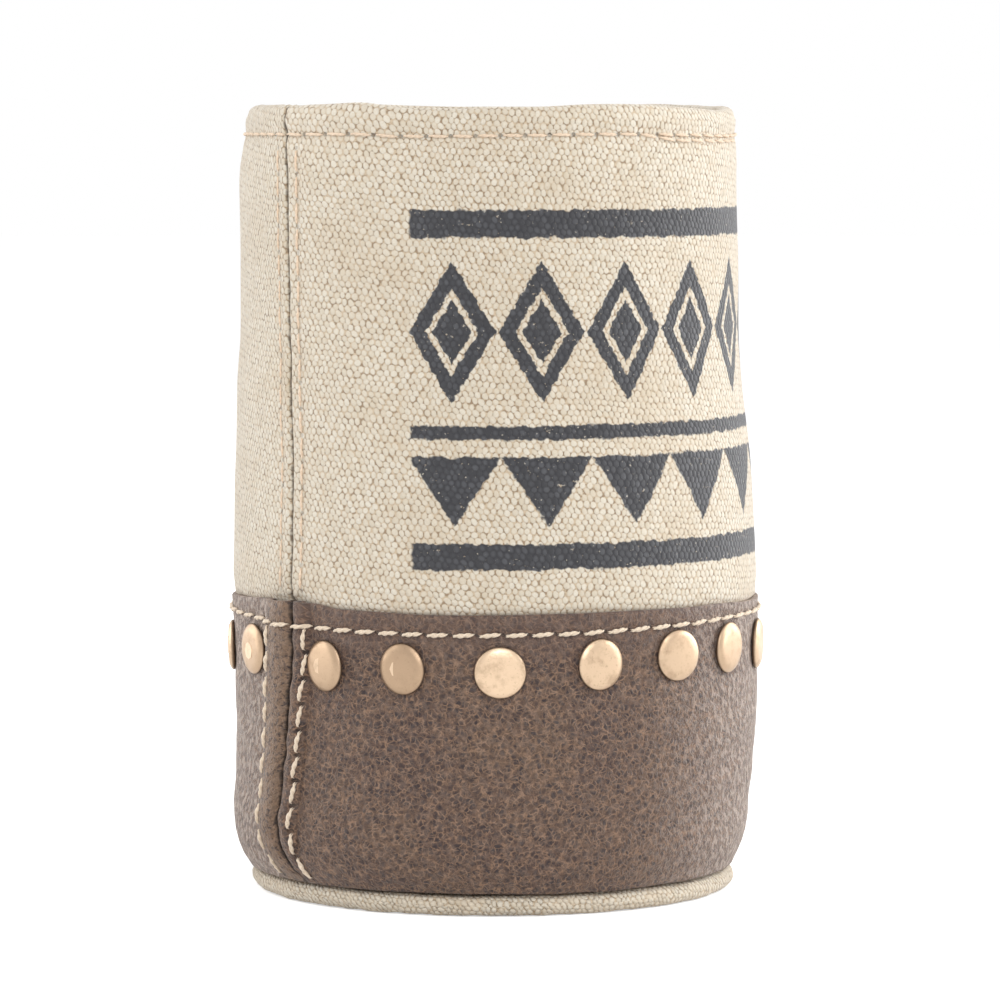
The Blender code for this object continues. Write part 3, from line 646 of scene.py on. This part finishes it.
def behind(depth, low, high):
    """Meridian at a depth behind the canvas's outer face, between two heights."""
    found = []
    for point, normal in canvas_wall.rows:
        if point.y > RIM - HEM:
            break
        inner = point - normal * depth
        if low < inner.y < high and normal.x > 0.5:
            found.append(inner)
    return found


def even_columns(first, last, spacing):
    steps = round((last - first) * ROUND / spacing)
    return [(first + (last - first) * k / steps, 0.0) for k in range(steps + 1)]


foam_sheet, tree, shader, vector = cloth_material("foam_sheet")
pores = wired(tree, "ShaderNodeTexVoronoi", {"Vector": vector, "Scale": 2600.0}).outputs["Distance"]
# Painted shade: the foam is darker in its pores.
foam_colour = blended(tree, step(tree, pores, 0.05, 0.5), FOAM_DARK, FOAM_LIGHT)
tree.links.new(foam_colour, shader["Base Color"])
shader["Roughness"].default_value = 0.9
bumped(tree, shader, (pores, 0.0001))
foam_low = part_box("wall_foam")[0][2]
foam_line = behind(FOAM_DEPTH, foam_low, RIM - HEM - CLEAR)
foam_columns = even_columns(FOAM_SHORT[0] / ROUND, math.tau - FOAM_SHORT[1] / ROUND, 0.003)
foam_wall = Panel(foam_line, 0.004, foam_columns)
foam_piece = add_piece("wall_padding", foam_wall.mesh(), foam_sheet)
give_thickness(foam_piece, FOAM)
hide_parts("wall_foam")

knit_lining, tree, shader, vector = cloth_material("knit_lining")
wales = {"Vector": vector, "Yarn": 0.00055, "Row": 0.00042, "Skew": 0.0, "Uneven": 0.15}
wales = use_effect(tree, weave, wales)
# Painted shade: the knit is darker between its wales and lighter on them; its faded patches are its own.
shade = step(tree, wales["Height"], 0.1, 0.7)
soft_patch = cloudy(tree, vector, 90.0, 3.0)
knit_colour = blended(tree, shade, KNIT_DARK, KNIT_LIGHT)
knit_colour = blended(tree, step(tree, soft_patch, 0.4, 0.7, 0.0, 0.25), knit_colour, KNIT_FADED)
tree.links.new(knit_colour, shader["Base Color"])
shader["Roughness"].default_value = 0.85
shader["Sheen Weight"].default_value = 0.3
bumped(tree, shader, (wales["Height"], 0.0001), (soft_patch, 0.0004))
lining_line = behind(LINING_DEPTH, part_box("base_lining")[1][2], RIM - HEM - 0.001)
lining_line.insert(0, Vector((lining_line[0].x - 0.0003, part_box("wall_lining")[0][2])))
lining_line += [
    Vector((wall_radius(z) - 2 * HEM_BEND - CLEAR, z)) for z in (RIM - HEM + CLEAR, RIM - 0.005, LINING_TOP)
]
lining_wall = Panel(lining_line, 0.002, even_columns(0.0, math.tau, 0.002))
lining_bm = lining_wall.mesh()
bmesh.ops.remove_doubles(lining_bm, verts=lining_bm.verts, dist=1e-6)
lining_piece = add_piece("wall_knit", lining_bm, knit_lining)
give_thickness(lining_piece, LINING)
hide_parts("wall_lining")


def lathe(section, sides):
    """A (radius, height) profile, with both ends on the axis, turned round Z."""
    bm = bmesh.new()
    verts = [bm.verts.new((radius, 0, z)) for radius, z in section]
    line = verts + [bm.edges.new(pair) for pair in zip(verts, verts[1:])]
    bmesh.ops.spin(bm, geom=line, axis=(0, 0, 1), cent=(0, 0, 0), angle=math.tau, steps=sides, use_merge=True)
    bmesh.ops.remove_doubles(bm, verts=bm.verts, dist=1e-7)
    bm.normal_update()
    bmesh.ops.recalc_face_normals(bm, faces=bm.faces)
    return bm


def round_cloth(section):
    """A round of cloth with its flat shape as its UV map, standing aside as the tube does."""
    bm = lathe(section, 96)
    flat = bm.loops.layers.uv.new("cloth")
    for face in bm.faces:
        for loop in face.loops:
            loop[flat].uv = loop.vert.co.xy
    for vert in bm.verts:
        vert.co.x += between(SLOUCH, vert.co.z)
    return bm


seat_low, seat_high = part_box("base_lining")
seat_radius = seat_high[0]
seat = [(0, seat_low[2])] + [(seat_radius * k / 12, seat_low[2]) for k in range(1, 13)]
seat += [(seat_radius * k / 12, seat_high[2]) for k in range(12, 0, -1)] + [(0, seat_high[2])]
seat_piece = add_piece("base_knit", round_cloth(seat), knit_lining)
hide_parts("base_lining")
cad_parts["base_foam"].data.materials[0] = foam_sheet

# The leather band is one strip of thick waxed hide, folded under at the seam so that it stands up beside
# it, sewn round its cut upper edge and turned in under the foot. Wear has drawn tan hairlines on it.
BAND_ROW = BAND_TOP - 0.0024
BAND_STITCHES = 65
BAND_STITCH = math.tau * ROUND / BAND_STITCHES
ROW_SWAY = (0.00045, math.radians(10))  # the row of stitches strays twice round
LEATHER_BEND = 0.00110
FRONT_ROW = 0.0023
BACK_ROW = 0.0051
STRIP = 0.0047  # the fold behind the seam stands up over this width
BAND_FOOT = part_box("leather_band")[0][2]
BAND_SEAM = (  # the seam's azimuth in degrees, by height
    (0.0, -45.5), (0.004, -47.8), (0.0053, -50.0), (0.008, -51.8), (0.0125, -52.5), (0.018, -51.6),
    (0.0235, -50.4), (0.030, -49.2), (0.035, -48.2), (0.040, -47.4), (BAND_TOP, -46.8),
)


def band_seam(z):
    """Azimuth of the band's seam, in degrees: each stitch pulls it a little aside."""
    return between(BAND_SEAM, z) + 0.45 * noise.noise(Vector((0.3, 0.7, z * 230)))


def band_rise(degrees, z):
    """How far the band's cut edge is lifted at an azimuth."""
    return between(BAND_EDGE, degrees) * min(1.0, max(0.0, (z - BAND_ROW) / (BAND_TOP - BAND_ROW)))


def row_sway(turn):
    """How far the row under the cut edge strays upwards."""
    return -ROW_SWAY[0] * math.cos(2 * (turn + SEAM + ROW_SWAY[1]))


def band_line():
    """Meridian of the leather's outer face, from under the foot to its cut edge."""
    under = [Vector((EDGE_RADIUS, CANVAS_FOOT))]
    under += [Vector((wall_radius(z), z)) for z in (CANVAS_FOOT, 0.0058, 0.0072, 0.0088, 0.0108, TUCK)]
    under += [Vector((wall_radius(z), z)) for z in (0.020, 0.030, BAND_TOP)]
    normals = [Vector((b.y - a.y, a.x - b.x)).normalized() for a, b in zip(under, under[1:])]
    outer = []
    for point, below, above in zip(under, normals[:1] + normals, normals + normals[-1:]):
        middle = (below + above).normalized()
        outer.append(point + middle * (CLEAR + LEATHER) / middle.dot(below))
    return outer


CAP_TILTS = {1: 0.09, 2: -0.02, 3: 0.17, 4: 0.21, 6: -0.18, 7: 0.09}  # towards the seam, in radians
CAP_LIFTS = {2: 0.0003, 6: 0.0004, 7: 0.0006, 8: 0.0006}  # the holes for these were punched a little higher
RIVET_MIDDLES = []
for number in range(1, 19):
    low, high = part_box(f"rivet_cap_{number:02d}")
    RIVET_MIDDLES.append((Vector(low) + Vector(high)) / 2 + Vector((0, 0, CAP_LIFTS.get(number, 0.0))))


def ridge(value, sharp):
    """A soft ridge where the value passes zero."""
    return math.exp(-((value / sharp) ** 2))


def leather_relief(turn, run, z):
    """The band's soft unevenness, creases, stitches drawn into it, and the beds of its rivets."""
    azimuth = SEAM + turn
    round_x, round_y = math.sin(turn) * 1.6, math.cos(turn) * 1.6
    relief = 0.00022 * noise.noise(Vector((round_x * 1.3, round_y * 1.3, z * 45)))
    relief += 0.00010 * noise.noise(Vector((round_x * 5, round_y * 5, z * 150)))
    if z > BAND_FOOT + 0.0012:
        beside = (turn if turn < math.pi else turn - math.tau) * ROUND
        needle = 0.5 + 0.5 * math.cos(math.tau * (run - SEAM_ROW_START) / STITCH)
        relief -= 0.00040 * pull(beside - FRONT_ROW, 0.0006) * (0.5 + 0.5 * needle)
        relief -= 0.00050 * pull(beside + BACK_ROW, 0.0007) * (0.5 + 0.5 * needle)
        relief -= 0.00020 * pull(beside, 0.0012) * needle
        if -STRIP < beside < 0:
            relief += 0.00042 * math.sin(math.pi * -beside / STRIP)
        stitch = 0.5 + 0.5 * math.cos(math.tau * turn * ROUND / BAND_STITCH)
        relief -= 0.00024 * pull(z - BAND_ROW - row_sway(turn), 0.0006) * (0.5 + 0.5 * stitch)
        degrees = math.degrees(azimuth)
        left = ridge(degrees - 288, 11) * ridge((z - 0.020) / 0.016, 1)
        crease = (z + 0.00030 * degrees) * 1150 + 2 * noise.noise(Vector((round_x, z * 60, 1)))
        relief += 0.00016 * left * math.sin(crease)
        right = ridge(degrees - 66, 13) * ridge((z - 0.021) / 0.010, 1)
        crease = (z - 0.00018 * degrees) * 1020 + 2 * noise.noise(Vector((round_y, z * 60, 2)))
        relief += 0.00024 * right * math.sin(crease)
    for number, middle in enumerate(RIVET_MIDDLES, start=1):
        off = (azimuth - math.atan2(middle.x, -middle.y) + math.pi) % math.tau - math.pi
        if abs(off) < 0.25 and abs(z - middle.z) < 0.008:
            away = math.hypot(off * ROUND, z - middle.z)
            relief -= 0.00016 * pull(max(0.0, away - 0.0034), 0.0012)
            relief += off * ROUND * CAP_TILTS.get(number, 0.0) * pull(away, 0.0050)
    return relief


def leather_fold(z):
    """Share of the seam's thickness: it thins out at the foot."""
    share = min(1.0, max(0.0, (z - BAND_FOOT - 0.001) / (TUCK - 0.003 - BAND_FOOT)))
    return share * share * (3 - 2 * share)


BAND_ALLOWANCES = (0.0019, 0.0056)  # turned under in front of the seam and behind it
band_columns = folded_columns(BAND_ALLOWANCES, LEATHER_BEND, LEATHER + 0.0004, 0.00065)
band = Panel(band_line(), 0.00065, band_columns, leather_relief, leather_fold, band_seam, band_rise)
SEAM_ROW_START = band.run_at(BAND_FOOT + 0.0006)

HIDE_DARK = (0.024, 0.016, 0.019)
HIDE = (0.088, 0.052, 0.041)
HIDE_WARM = (0.122, 0.073, 0.048)
HIDE_LINE = (0.33, 0.200, 0.125)
HIDE_SMOOTH = (0.128, 0.082, 0.067)
HIDE_STRIP = (0.265, 0.172, 0.108)
HIDE_PAINTED_SHEEN = (0.60, 0.49, 0.42)
HOLE_SHADE = (0.020, 0.014, 0.012)
BAND_HOLE = 0.00026  # radius of a needle hole in the leather
leather, tree, shader, vector = cloth_material("waxed_leather")
warp = wired(tree, "ShaderNodeTexNoise", {"Vector": vector, "Scale": 800.0, "Detail": 3.0}).outputs["Color"]
warp = wired(tree, "ShaderNodeVectorMath", {0: warp, 1: (0.5, 0.5, 0.5)}, operation="SUBTRACT").outputs[0]
warp = wired(tree, "ShaderNodeVectorMath", {0: warp, "Scale": 0.0012}, operation="SCALE").outputs[0]
grain_place = wired(tree, "ShaderNodeVectorMath", {0: vector, 1: warp}, operation="ADD").outputs[0]


def cracks(scale):
    """Distance from the lines of a broken net, in its own cells."""
    inputs = {"Vector": grain_place, "Scale": scale}
    return wired(tree, "ShaderNodeTexVoronoi", inputs, feature="DISTANCE_TO_EDGE").outputs["Distance"]


pebbles = wired(tree, "ShaderNodeTexVoronoi", {"Vector": grain_place, "Scale": 1250.0}).outputs
pebble_tone = wired(tree, "ShaderNodeSeparateXYZ", {0: pebbles["Color"]}).outputs[0]
large, small = cracks(1250.0), cracks(2500.0)
mottle = cloudy(tree, vector, 60.0, 4.0, 0.6)
fleck = cloudy(tree, vector, 1300.0, 3.0, 0.7)
axes = wired(tree, "ShaderNodeSeparateXYZ", {0: vector}).outputs
smooth = step(tree, axes[1], band.run_at(0.036), band.run_at(0.041), 0.0, 0.45)
colour = blended(tree, step(tree, mottle, 0.35, 0.65), HIDE, HIDE_WARM)
dark_middle = step(tree, pebbles["Distance"], 0.18, 0.58, 1.0, 0.0)
dark_middle = times(tree, dark_middle, maths(tree, "MULTIPLY_ADD", pebble_tone, 0.7, 0.35))
colour = blended(tree, dark_middle, colour, HIDE_DARK)
colour = blended(tree, step(tree, fleck, 0.46, 0.62, 0.0, 0.55), colour, HIDE_DARK)
line = step(tree, large, 0.01, 0.13, 1.0, 0.0)
unbroken = step(tree, cloudy(tree, vector, 950.0, 3.0, 0.65), 0.38, 0.60, 0.12, 1.0)
line = times(tree, line, unbroken)
thin_line = step(tree, small, 0.01, 0.15, 1.0, 0.0)
unbroken = step(tree, cloudy(tree, vector, 900.0, 2.0, 0.6), 0.46, 0.60, 0.0, 0.55)
thin_line = times(tree, thin_line, unbroken)
lines = times(tree, maths(tree, "MAXIMUM", line, thin_line), 0.75)
colour = blended(tree, lines, colour, HIDE_LINE)
colour = blended(tree, times(tree, smooth, 0.8), colour, HIDE_SMOOTH)
back_edge = minus(tree, math.tau * ROUND, axes[0])
from_seam = maths(tree, "MINIMUM", axes[0], back_edge)
strip = step(tree, back_edge, STRIP - 0.0004, STRIP + 0.0004, 1.0, 0.0)
strip_colour = blended(tree, step(tree, fleck, 0.50, 0.62), HIDE_STRIP, HIDE_DARK)
colour = blended(tree, times(tree, strip, 0.55), colour, strip_colour)
# Painted sheen: the hide is painted paler in wrinkles towards both sides, and faintly all over, for grazing
# light.
# The wrinkles also give a bump, stronger towards the sides.
right = step(tree, axes[0], 1.35 * ROUND, 2.10 * ROUND)
right = times(tree, right, step(tree, axes[0], 2.3 * ROUND, 3.0 * ROUND, 1.0, 0.0))
left = step(tree, back_edge, 0.9 * ROUND, 1.5 * ROUND, 1.0, 0.0)
left = times(tree, left, minus(tree, 1.0, strip))
sides = maths(tree, "MAXIMUM", right, left)
wrinkle_place = wired(tree, "ShaderNodeCombineXYZ", {0: from_seam, 1: axes[1]}).outputs[0]
wrinkle_place = {"Vector": wrinkle_place, "Rotation": (0, 0, -1.05), "Scale": (0.0013, 0.0009, 1)}
wrinkle_place = wired(tree, "ShaderNodeMapping", wrinkle_place, vector_type="TEXTURE").outputs[0]
wrinkles_and_sheen = step(tree, cloudy(tree, wrinkle_place, 1.0, 3.0, 0.65), 0.44, 0.60, 0.15, 1.0)
wrinkles_and_sheen = times(tree, wrinkles_and_sheen, maths(tree, "MULTIPLY_ADD", sides, 0.88, 0.12))
colour = blended(tree, times(tree, wrinkles_and_sheen, 0.62), colour, HIDE_PAINTED_SHEEN)
turns = maths(tree, "MULTIPLY_ADD", axes[0], 2 / ROUND, 2 * (SEAM + ROW_SWAY[1]))
row_across = maths(tree, "MULTIPLY_ADD", maths(tree, "COSINE", turns), ROW_SWAY[0], axes[1])
row_across = minus(tree, row_across, band.run_at(BAND_ROW))
top_holes = {"Along": axes[0], "Across": row_across, "Pitch": BAND_STITCH, "Radius": BAND_HOLE}
top_holes = use_effect(tree, needle_holes, top_holes)
front_across = minus(tree, axes[0], FRONT_ROW)
back_across = minus(tree, axes[0], math.tau * ROUND - BACK_ROW)
up_row = minus(tree, axes[1], SEAM_ROW_START)
front_holes = use_effect(tree, needle_holes, {"Along": up_row, "Across": front_across, "Radius": BAND_HOLE})
back_holes = use_effect(tree, needle_holes, {"Along": up_row, "Across": back_across, "Radius": BAND_HOLE})
holes = maths(tree, "MAXIMUM", front_holes["Hole"], back_holes["Hole"])
holes = maths(tree, "MAXIMUM", top_holes["Hole"], holes)
colour = blended(tree, times(tree, holes, 0.55), colour, HOLE_SHADE)
slit = seam_shade(tree, from_seam, axes[1], 0.00030)
colour = blended(tree, times(tree, slit, 0.9), colour, HOLE_SHADE)
tree.links.new(colour, shader["Base Color"])
rough = step(tree, mottle, 0.3, 0.7, 0.54, 0.42)
tree.links.new(maths(tree, "MULTIPLY_ADD", fleck, 0.12, rough), shader["Roughness"])
shader["Specular IOR Level"].default_value = 0.30
shader["Sheen Weight"].default_value = 0.30
shader["Sheen Roughness"].default_value = 0.35
shader["Sheen Tint"].default_value = (1.0, 0.90, 0.84, 1.0)
bumped(
    tree, shader, (wrinkles_and_sheen, 0.00014), (step(tree, large, 0.0, 0.25), 0.00007),
    (step(tree, small, 0.0, 0.3), 0.00004), (fleck, 0.00006), (minus(tree, 1.0, holes), 0.0003),
)
leather_piece = add_piece("leather_wrap", band.mesh((band.run_at(0.0095), math.inf)), leather)
give_thickness(leather_piece, LEATHER)
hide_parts("leather_band")

# Each double-cap rivet shows a low pressed brass dome with a rolled edge, aged and a little scratched. Its
# post goes through the hide and the canvas to a thin disc inside.
CAP_RADIUS = 0.00378
CAP_RISE = 0.00105
BRASS_NEW = (0.66, 0.495, 0.345)
BRASS_OLD = (0.42, 0.295, 0.195)
BRASS_TARNISH = (0.38, 0.270, 0.180)
BRASS_SPECK = (0.28, 0.19, 0.12)
CAP_EDGE_DARK = (0.10, 0.065, 0.045)
brass, tree, shader, vector = cloth_material("aged_brass")
tree.nodes.remove(vector.node)
vector = tree.nodes.new("ShaderNodeTexCoord").outputs["Object"]
tarnish = cloudy(tree, vector, 420.0, 4.0, 0.65)
age = wired(tree, "ShaderNodeAttribute", {}, attribute_name="age").outputs["Fac"]
speck = step(tree, cloudy(tree, vector, 2600.0, 2.0, 0.6), 0.62, 0.70)
scratch_place = wired(
    tree, "ShaderNodeMapping", {"Vector": vector, "Rotation": (0.3, 0.6, 0.5), "Scale": (900, 9000, 9000)}
)
scratch = step(tree, cloudy(tree, scratch_place.outputs[0], 1.0, 2.0), 0.60, 0.66)
colour = blended(tree, age, BRASS_NEW, BRASS_OLD)
colour = blended(tree, step(tree, tarnish, 0.46, 0.70, 0.0, 0.6), colour, BRASS_TARNISH)
colour = blended(tree, times(tree, speck, 0.35), colour, BRASS_SPECK)
# Each cap is darker at its outer edge, where it meets the leather.
face = wired(tree, "ShaderNodeUVMap", {}, uv_map="face").outputs[0]
from_middle = wired(tree, "ShaderNodeVectorMath", {0: face}, operation="LENGTH").outputs["Value"]
edge_darker = step(tree, from_middle, 0.955, 1.0, 0.0, 0.75)
colour = blended(tree, edge_darker, colour, CAP_EDGE_DARK)
tree.links.new(colour, shader["Base Color"])
rough = maths(tree, "ADD", step(tree, tarnish, 0.35, 0.7, 0.34, 0.48), times(tree, scratch, 0.12))
tree.links.new(rough, shader["Roughness"])
shader["Metallic"].default_value = 1.0
bumped(tree, shader, (tarnish, 0.00002), (scratch, 0.000008))

cap_section = [(0, 0), (CAP_RADIUS - 0.0005, 0), (CAP_RADIUS - 0.00012, 0.00006), (CAP_RADIUS, 0.00022)]
cap_section += [(CAP_RADIUS - 0.00004, 0.0004), (CAP_RADIUS - 0.00022, 0.00060)]
cap_section += [(CAP_RADIUS - 0.00055, 0.00078)]
cap_section += [(CAP_RADIUS * share, CAP_RISE - 0.00022 * share**2) for share in (0.78, 0.6, 0.4, 0.2)]
cap_section += [(0, CAP_RISE)]
CAP_AGES = {2: 0.8, 3: 0.85, 4: 1.0, 5: 0.0, 6: 0.25, 7: 0.4, 8: 0.7}  # the others are taken in turn
LEAN = math.atan((BAND_RADIUS - WAIST_RADIUS) / (BAND_TOP - TUCK))
for number, middle in enumerate(RIVET_MIDDLES, start=1):
    azimuth = math.atan2(middle.x, -middle.y)
    cap_bm = lathe(cap_section, 40)
    face = cap_bm.loops.layers.uv.new("face")
    for corner in (loop for cap_face in cap_bm.faces for loop in cap_face.loops):
        corner[face].uv = corner.vert.co.xy / CAP_RADIUS
    aged = cap_bm.verts.layers.float.new("age")
    for vert in cap_bm.verts:
        vert[aged] = CAP_AGES.get(number, number * 0.37 % 1)
    radius = wall_radius(middle.z) + CLEAR + LEATHER - 0.00006
    out = Matrix.Rotation(azimuth, 4, "Z") @ Matrix.Rotation(math.radians(90) + LEAN, 4, "X")
    out = out @ Matrix.Rotation(-CAP_TILTS.get(number, 0.0), 4, "Y")
    aside = between(SLOUCH, middle.z)
    at = Vector((radius * math.sin(azimuth) + aside, -radius * math.cos(azimuth), middle.z))
    bmesh.ops.transform(cap_bm, matrix=Matrix.Translation(at) @ out, verts=cap_bm.verts)
    cap = add_piece(f"cap_{number:02d}", cap_bm, brass)
    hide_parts(f"rivet_cap_{number:02d}")
    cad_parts[f"rivet_post_{number:02d}"].data.materials[0] = brass

# The welt is a roll of coarser canvas sewn in round the foot between the leather and the base, and the base
# is a round of the wall's canvas turned up inside it.
WELT_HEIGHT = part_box("base_welt")[1][2]
WELT_MIDDLE = EDGE_RADIUS + 0.0024


def rolled(length_steps, sides, place, flat_size):
    """A tube from a rolled-up grid, closed where its sides meet: place gives the point of each share."""
    bm = bmesh.new()
    flat = bm.loops.layers.uv.new("cloth")
    bmesh.ops.create_grid(bm, x_segments=length_steps, y_segments=sides, size=1)
    uv_of = {}
    for vert in bm.verts:
        along, around = (vert.co.x + 1) / 2, (vert.co.y + 1) / 2
        uv_of[vert] = (along * flat_size[0], around * flat_size[1])
        vert.co = place(along, around)
    for face in bm.faces:
        for loop in face.loops:
            loop[flat].uv = uv_of[loop.vert]
    bmesh.ops.remove_doubles(bm, verts=bm.verts, dist=1e-7)
    bm.normal_update()
    bmesh.ops.recalc_face_normals(bm, faces=bm.faces)
    return bm


def welt_point(along, around):
    turn, angle = math.tau * along, math.tau * around
    where = Vector((math.sin(turn), math.cos(turn), 0))
    lumps = 0.00014 * noise.noise(where * 13 + Vector((0, 0, math.sin(angle) * 1.3)))
    lumps += 0.00007 * noise.noise(where * 40 + Vector((math.cos(angle) * 2, 0, math.sin(angle) * 2)))
    half = WELT_HEIGHT / 2
    radius = WELT_MIDDLE + (half - 0.0001 + lumps) * math.cos(angle)
    z = max(0.0, half + (half - 0.0001 + lumps) * math.sin(angle))
    return on_wall(radius, turn, z, band_seam)


WELT_STAIN = (0.84, 0.70, 0.53)
coarse_canvas, tree, shader, vector = cloth_material("coarse_canvas")
threads = use_effect(tree, weave, {"Vector": vector, "Uneven": 1.1})
colour = canvas_colour(tree, vector, threads)
stain = step(tree, cloudy(tree, vector, 200.0, 3.0), 0.40, 0.7, 0.05, 0.40)
colour = blended(tree, stain, colour, WELT_STAIN)
finish_canvas(tree, shader, colour, 0.3)
bumped(tree, shader, (threads["Height"], 0.00024), (cloudy(tree, vector, 3000.0, 3.0, 0.7), 0.00012))
welt_bm = rolled(280, 20, welt_point, (math.tau * ROUND, math.pi * WELT_HEIGHT))
welt = add_piece("welt_roll", welt_bm, coarse_canvas)
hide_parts("base_welt")

dish_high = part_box("base_canvas")[1]
dish_radius = dish_high[0]
dish = [(0, 0.0003), (dish_radius * 0.3, 0.0003), (dish_radius * 0.6, 0.00025), (dish_radius * 0.85, 0.0001)]
dish += [(dish_radius - 0.0012, 0.0), (dish_radius - 0.0003, 0.0003), (dish_radius, 0.0012)]
dish += [(dish_radius, dish_high[2]), (dish_radius - CANVAS, dish_high[2]), (dish_radius - CANVAS, 0.0015)]
dish += [(dish_radius - 0.0018, CANVAS + 0.0001), (dish_radius * 0.6, CANVAS + 0.00025), (0, CANVAS + 0.0003)]
plain_canvas, tree, shader, vector = cloth_material("plain_canvas")
threads = use_effect(tree, weave, {"Vector": vector})
finish_canvas(tree, shader, canvas_colour(tree, vector, threads), 0.3)
bumped(tree, shader, (threads["Height"], 0.00022), (cloudy(tree, vector, 5200.0, 2.0, 0.7), 0.00008))
base_piece = add_piece("base_round", round_cloth(dish), plain_canvas)
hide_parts("base_canvas")

# All rows are lockstitch in two-ply thread: heavy cream thread on the leather, whose stitches slant and bed
# into it, and finer peach thread on the canvas. The hem's row is sewn twice where its ends meet.
STITCH_RINGS = 9
PLY_SIDES = 5


def stitch_into(row, panel, start, end, radius, slant, twist):
    """Adds one stitch from hole to hole, each a (turn, run): two plies that wind round each other."""
    (turn_a, run_a), (turn_b, run_b) = start, end
    across = Vector((run_b - run_a, (turn_a - turn_b) * ROUND)).normalized() * slant

    def middle(share):
        turn = turn_a + (turn_b - turn_a) * share + across.x * (share - 0.5) / ROUND
        run = run_a + (run_b - run_a) * share - across.y * (0.5 - share)
        rise = min(1.0, 2.3 * math.sin(math.pi * share))
        return panel.place(turn, run, height=radius * (1.75 * rise - 0.95))

    points = [middle(0.06 + 0.88 * k / STITCH_RINGS) for k in range(STITCH_RINGS + 1)]
    for ply in (0, 1):
        def ply_point(along, around):
            k = round(along * STITCH_RINGS)
            ahead = (points[min(k + 1, STITCH_RINGS)] - points[max(k - 1, 0)]).normalized()
            out = Vector((points[k].x, points[k].y, 0)).normalized()
            side = ahead.cross(out).normalized()
            out = side.cross(ahead)
            thin = 0.0
            if 0 < k < STITCH_RINGS:
                thin = math.sqrt(max(0.0, math.sin(math.pi * (0.02 + 0.96 * along))))
            wind = math.pi * ply + math.tau * twist * along
            centre = points[k] + (side * math.cos(wind) + out * math.sin(wind)) * radius * 0.34
            angle = math.tau * around
            return centre + (side * math.cos(angle) + out * math.sin(angle)) * radius * 0.70 * thin

        length = (points[0] - points[-1]).length
        ply_bm = rolled(STITCH_RINGS, PLY_SIDES, ply_point, (length, math.tau * radius * 0.6))
        ply_mesh = bpy.data.meshes.new("ply")
        ply_bm.to_mesh(ply_mesh)
        ply_bm.free()
        row.from_mesh(ply_mesh)
        bpy.data.meshes.remove(ply_mesh)


def thread_material(name, light, dark):
    made, tree, shader, vector = cloth_material(name)
    strand = {"Vector": vector, "Rotation": (0, 0, 0.7), "Scale": (2200, 9000, 1)}
    strand = wired(tree, "ShaderNodeMapping", strand)
    strand = cloudy(tree, strand.outputs[0], 1.0, 2.0)
    tree.links.new(blended(tree, step(tree, strand, 0.35, 0.62), dark, light), shader["Base Color"])
    shader["Roughness"].default_value = 0.75
    shader["Specular IOR Level"].default_value = 0.25
    shader["Sheen Weight"].default_value = 0.3
    bumped(tree, shader, (strand, 0.00006))
    return made


def sew(name, node, panel, holes, radius, finish, slant=0.0, twist=1.4):
    """A row of stitches through the holes, in place of the CAD's plain thread."""
    row = bmesh.new()
    for number, (start, end) in enumerate(zip(holes, holes[1:])):
        sway = 0.7 + 0.6 * noise.noise(Vector((number * 1.7, 3.1, 0.2)))
        stitch_into(row, panel, start, end, radius, slant * sway, twist)
    piece = add_piece(name, row, finish)
    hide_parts(node)


cream_thread = thread_material("cream_thread", (0.90, 0.76, 0.60), (0.74, 0.59, 0.44))
peach_thread = thread_material("peach_thread", (0.90, 0.73, 0.56), (0.76, 0.58, 0.42))
BAND_THREAD = 0.00038
CANVAS_THREAD = 0.00027
FRONT_SEAM_THREAD = 0.00022  # both of the canvas seam's rows look finer than the hem's
BACK_SEAM_THREAD = 0.00017
OVERSEW_START = math.radians(40)
OVERSEW_LENGTH = math.radians(40)
band_run = band.run_at(BAND_ROW)
turns = [k * BAND_STITCH / ROUND for k in range(BAND_STITCHES + 1)]
holes = [(turn, band_run + row_sway(turn)) for turn in turns]
sew("band_row", "band_thread", band, holes, BAND_THREAD, cream_thread, slant=-0.00050)
hem_run = canvas_wall.run_at(HEM_ROW)
first = round((OVERSEW_START - SEAM) * ROUND / HEM_STITCH)
twice = round(OVERSEW_LENGTH * ROUND / HEM_STITCH)
holes = []
for k in range(first, first + HEM_STITCHES + twice + 1):
    lower = min(1.0, max(0.0, (k - first - HEM_STITCHES + 1) / 2))
    holes.append((k * HEM_STITCH / ROUND, hem_run - 0.0008 * lower))
sew("hem_row", "hem_thread", canvas_wall, holes, CANVAS_THREAD, peach_thread, slant=0.0002)
for side, across in (("front", FRONT_ROW), ("back", -BACK_ROW)):
    stitches = math.floor((band.runs[-1] - 0.0006 - SEAM_ROW_START) / STITCH)
    holes = [((across / ROUND) % math.tau, SEAM_ROW_START + k * STITCH) for k in range(stitches + 1)]
    node = f"band_seam_thread_{side}"
    sew(f"band_seam_row_{side}", node, band, holes, BAND_THREAD, cream_thread, slant=0.0003)
for side, across, radius in (("front", SEAM_ROW, FRONT_SEAM_THREAD), ("back", -SEAM_ROW, BACK_SEAM_THREAD)):
    low = math.ceil(canvas_wall.run_at(BAND_TOP + 0.0004) / STITCH)
    high = math.floor((hem_run - 0.0004) / STITCH)
    holes = [((across / ROUND) % math.tau, k * STITCH) for k in range(low, high + 1)]
    sew(f"canvas_seam_row_{side}", f"canvas_seam_thread_{side}", canvas_wall, holes, radius, peach_thread)
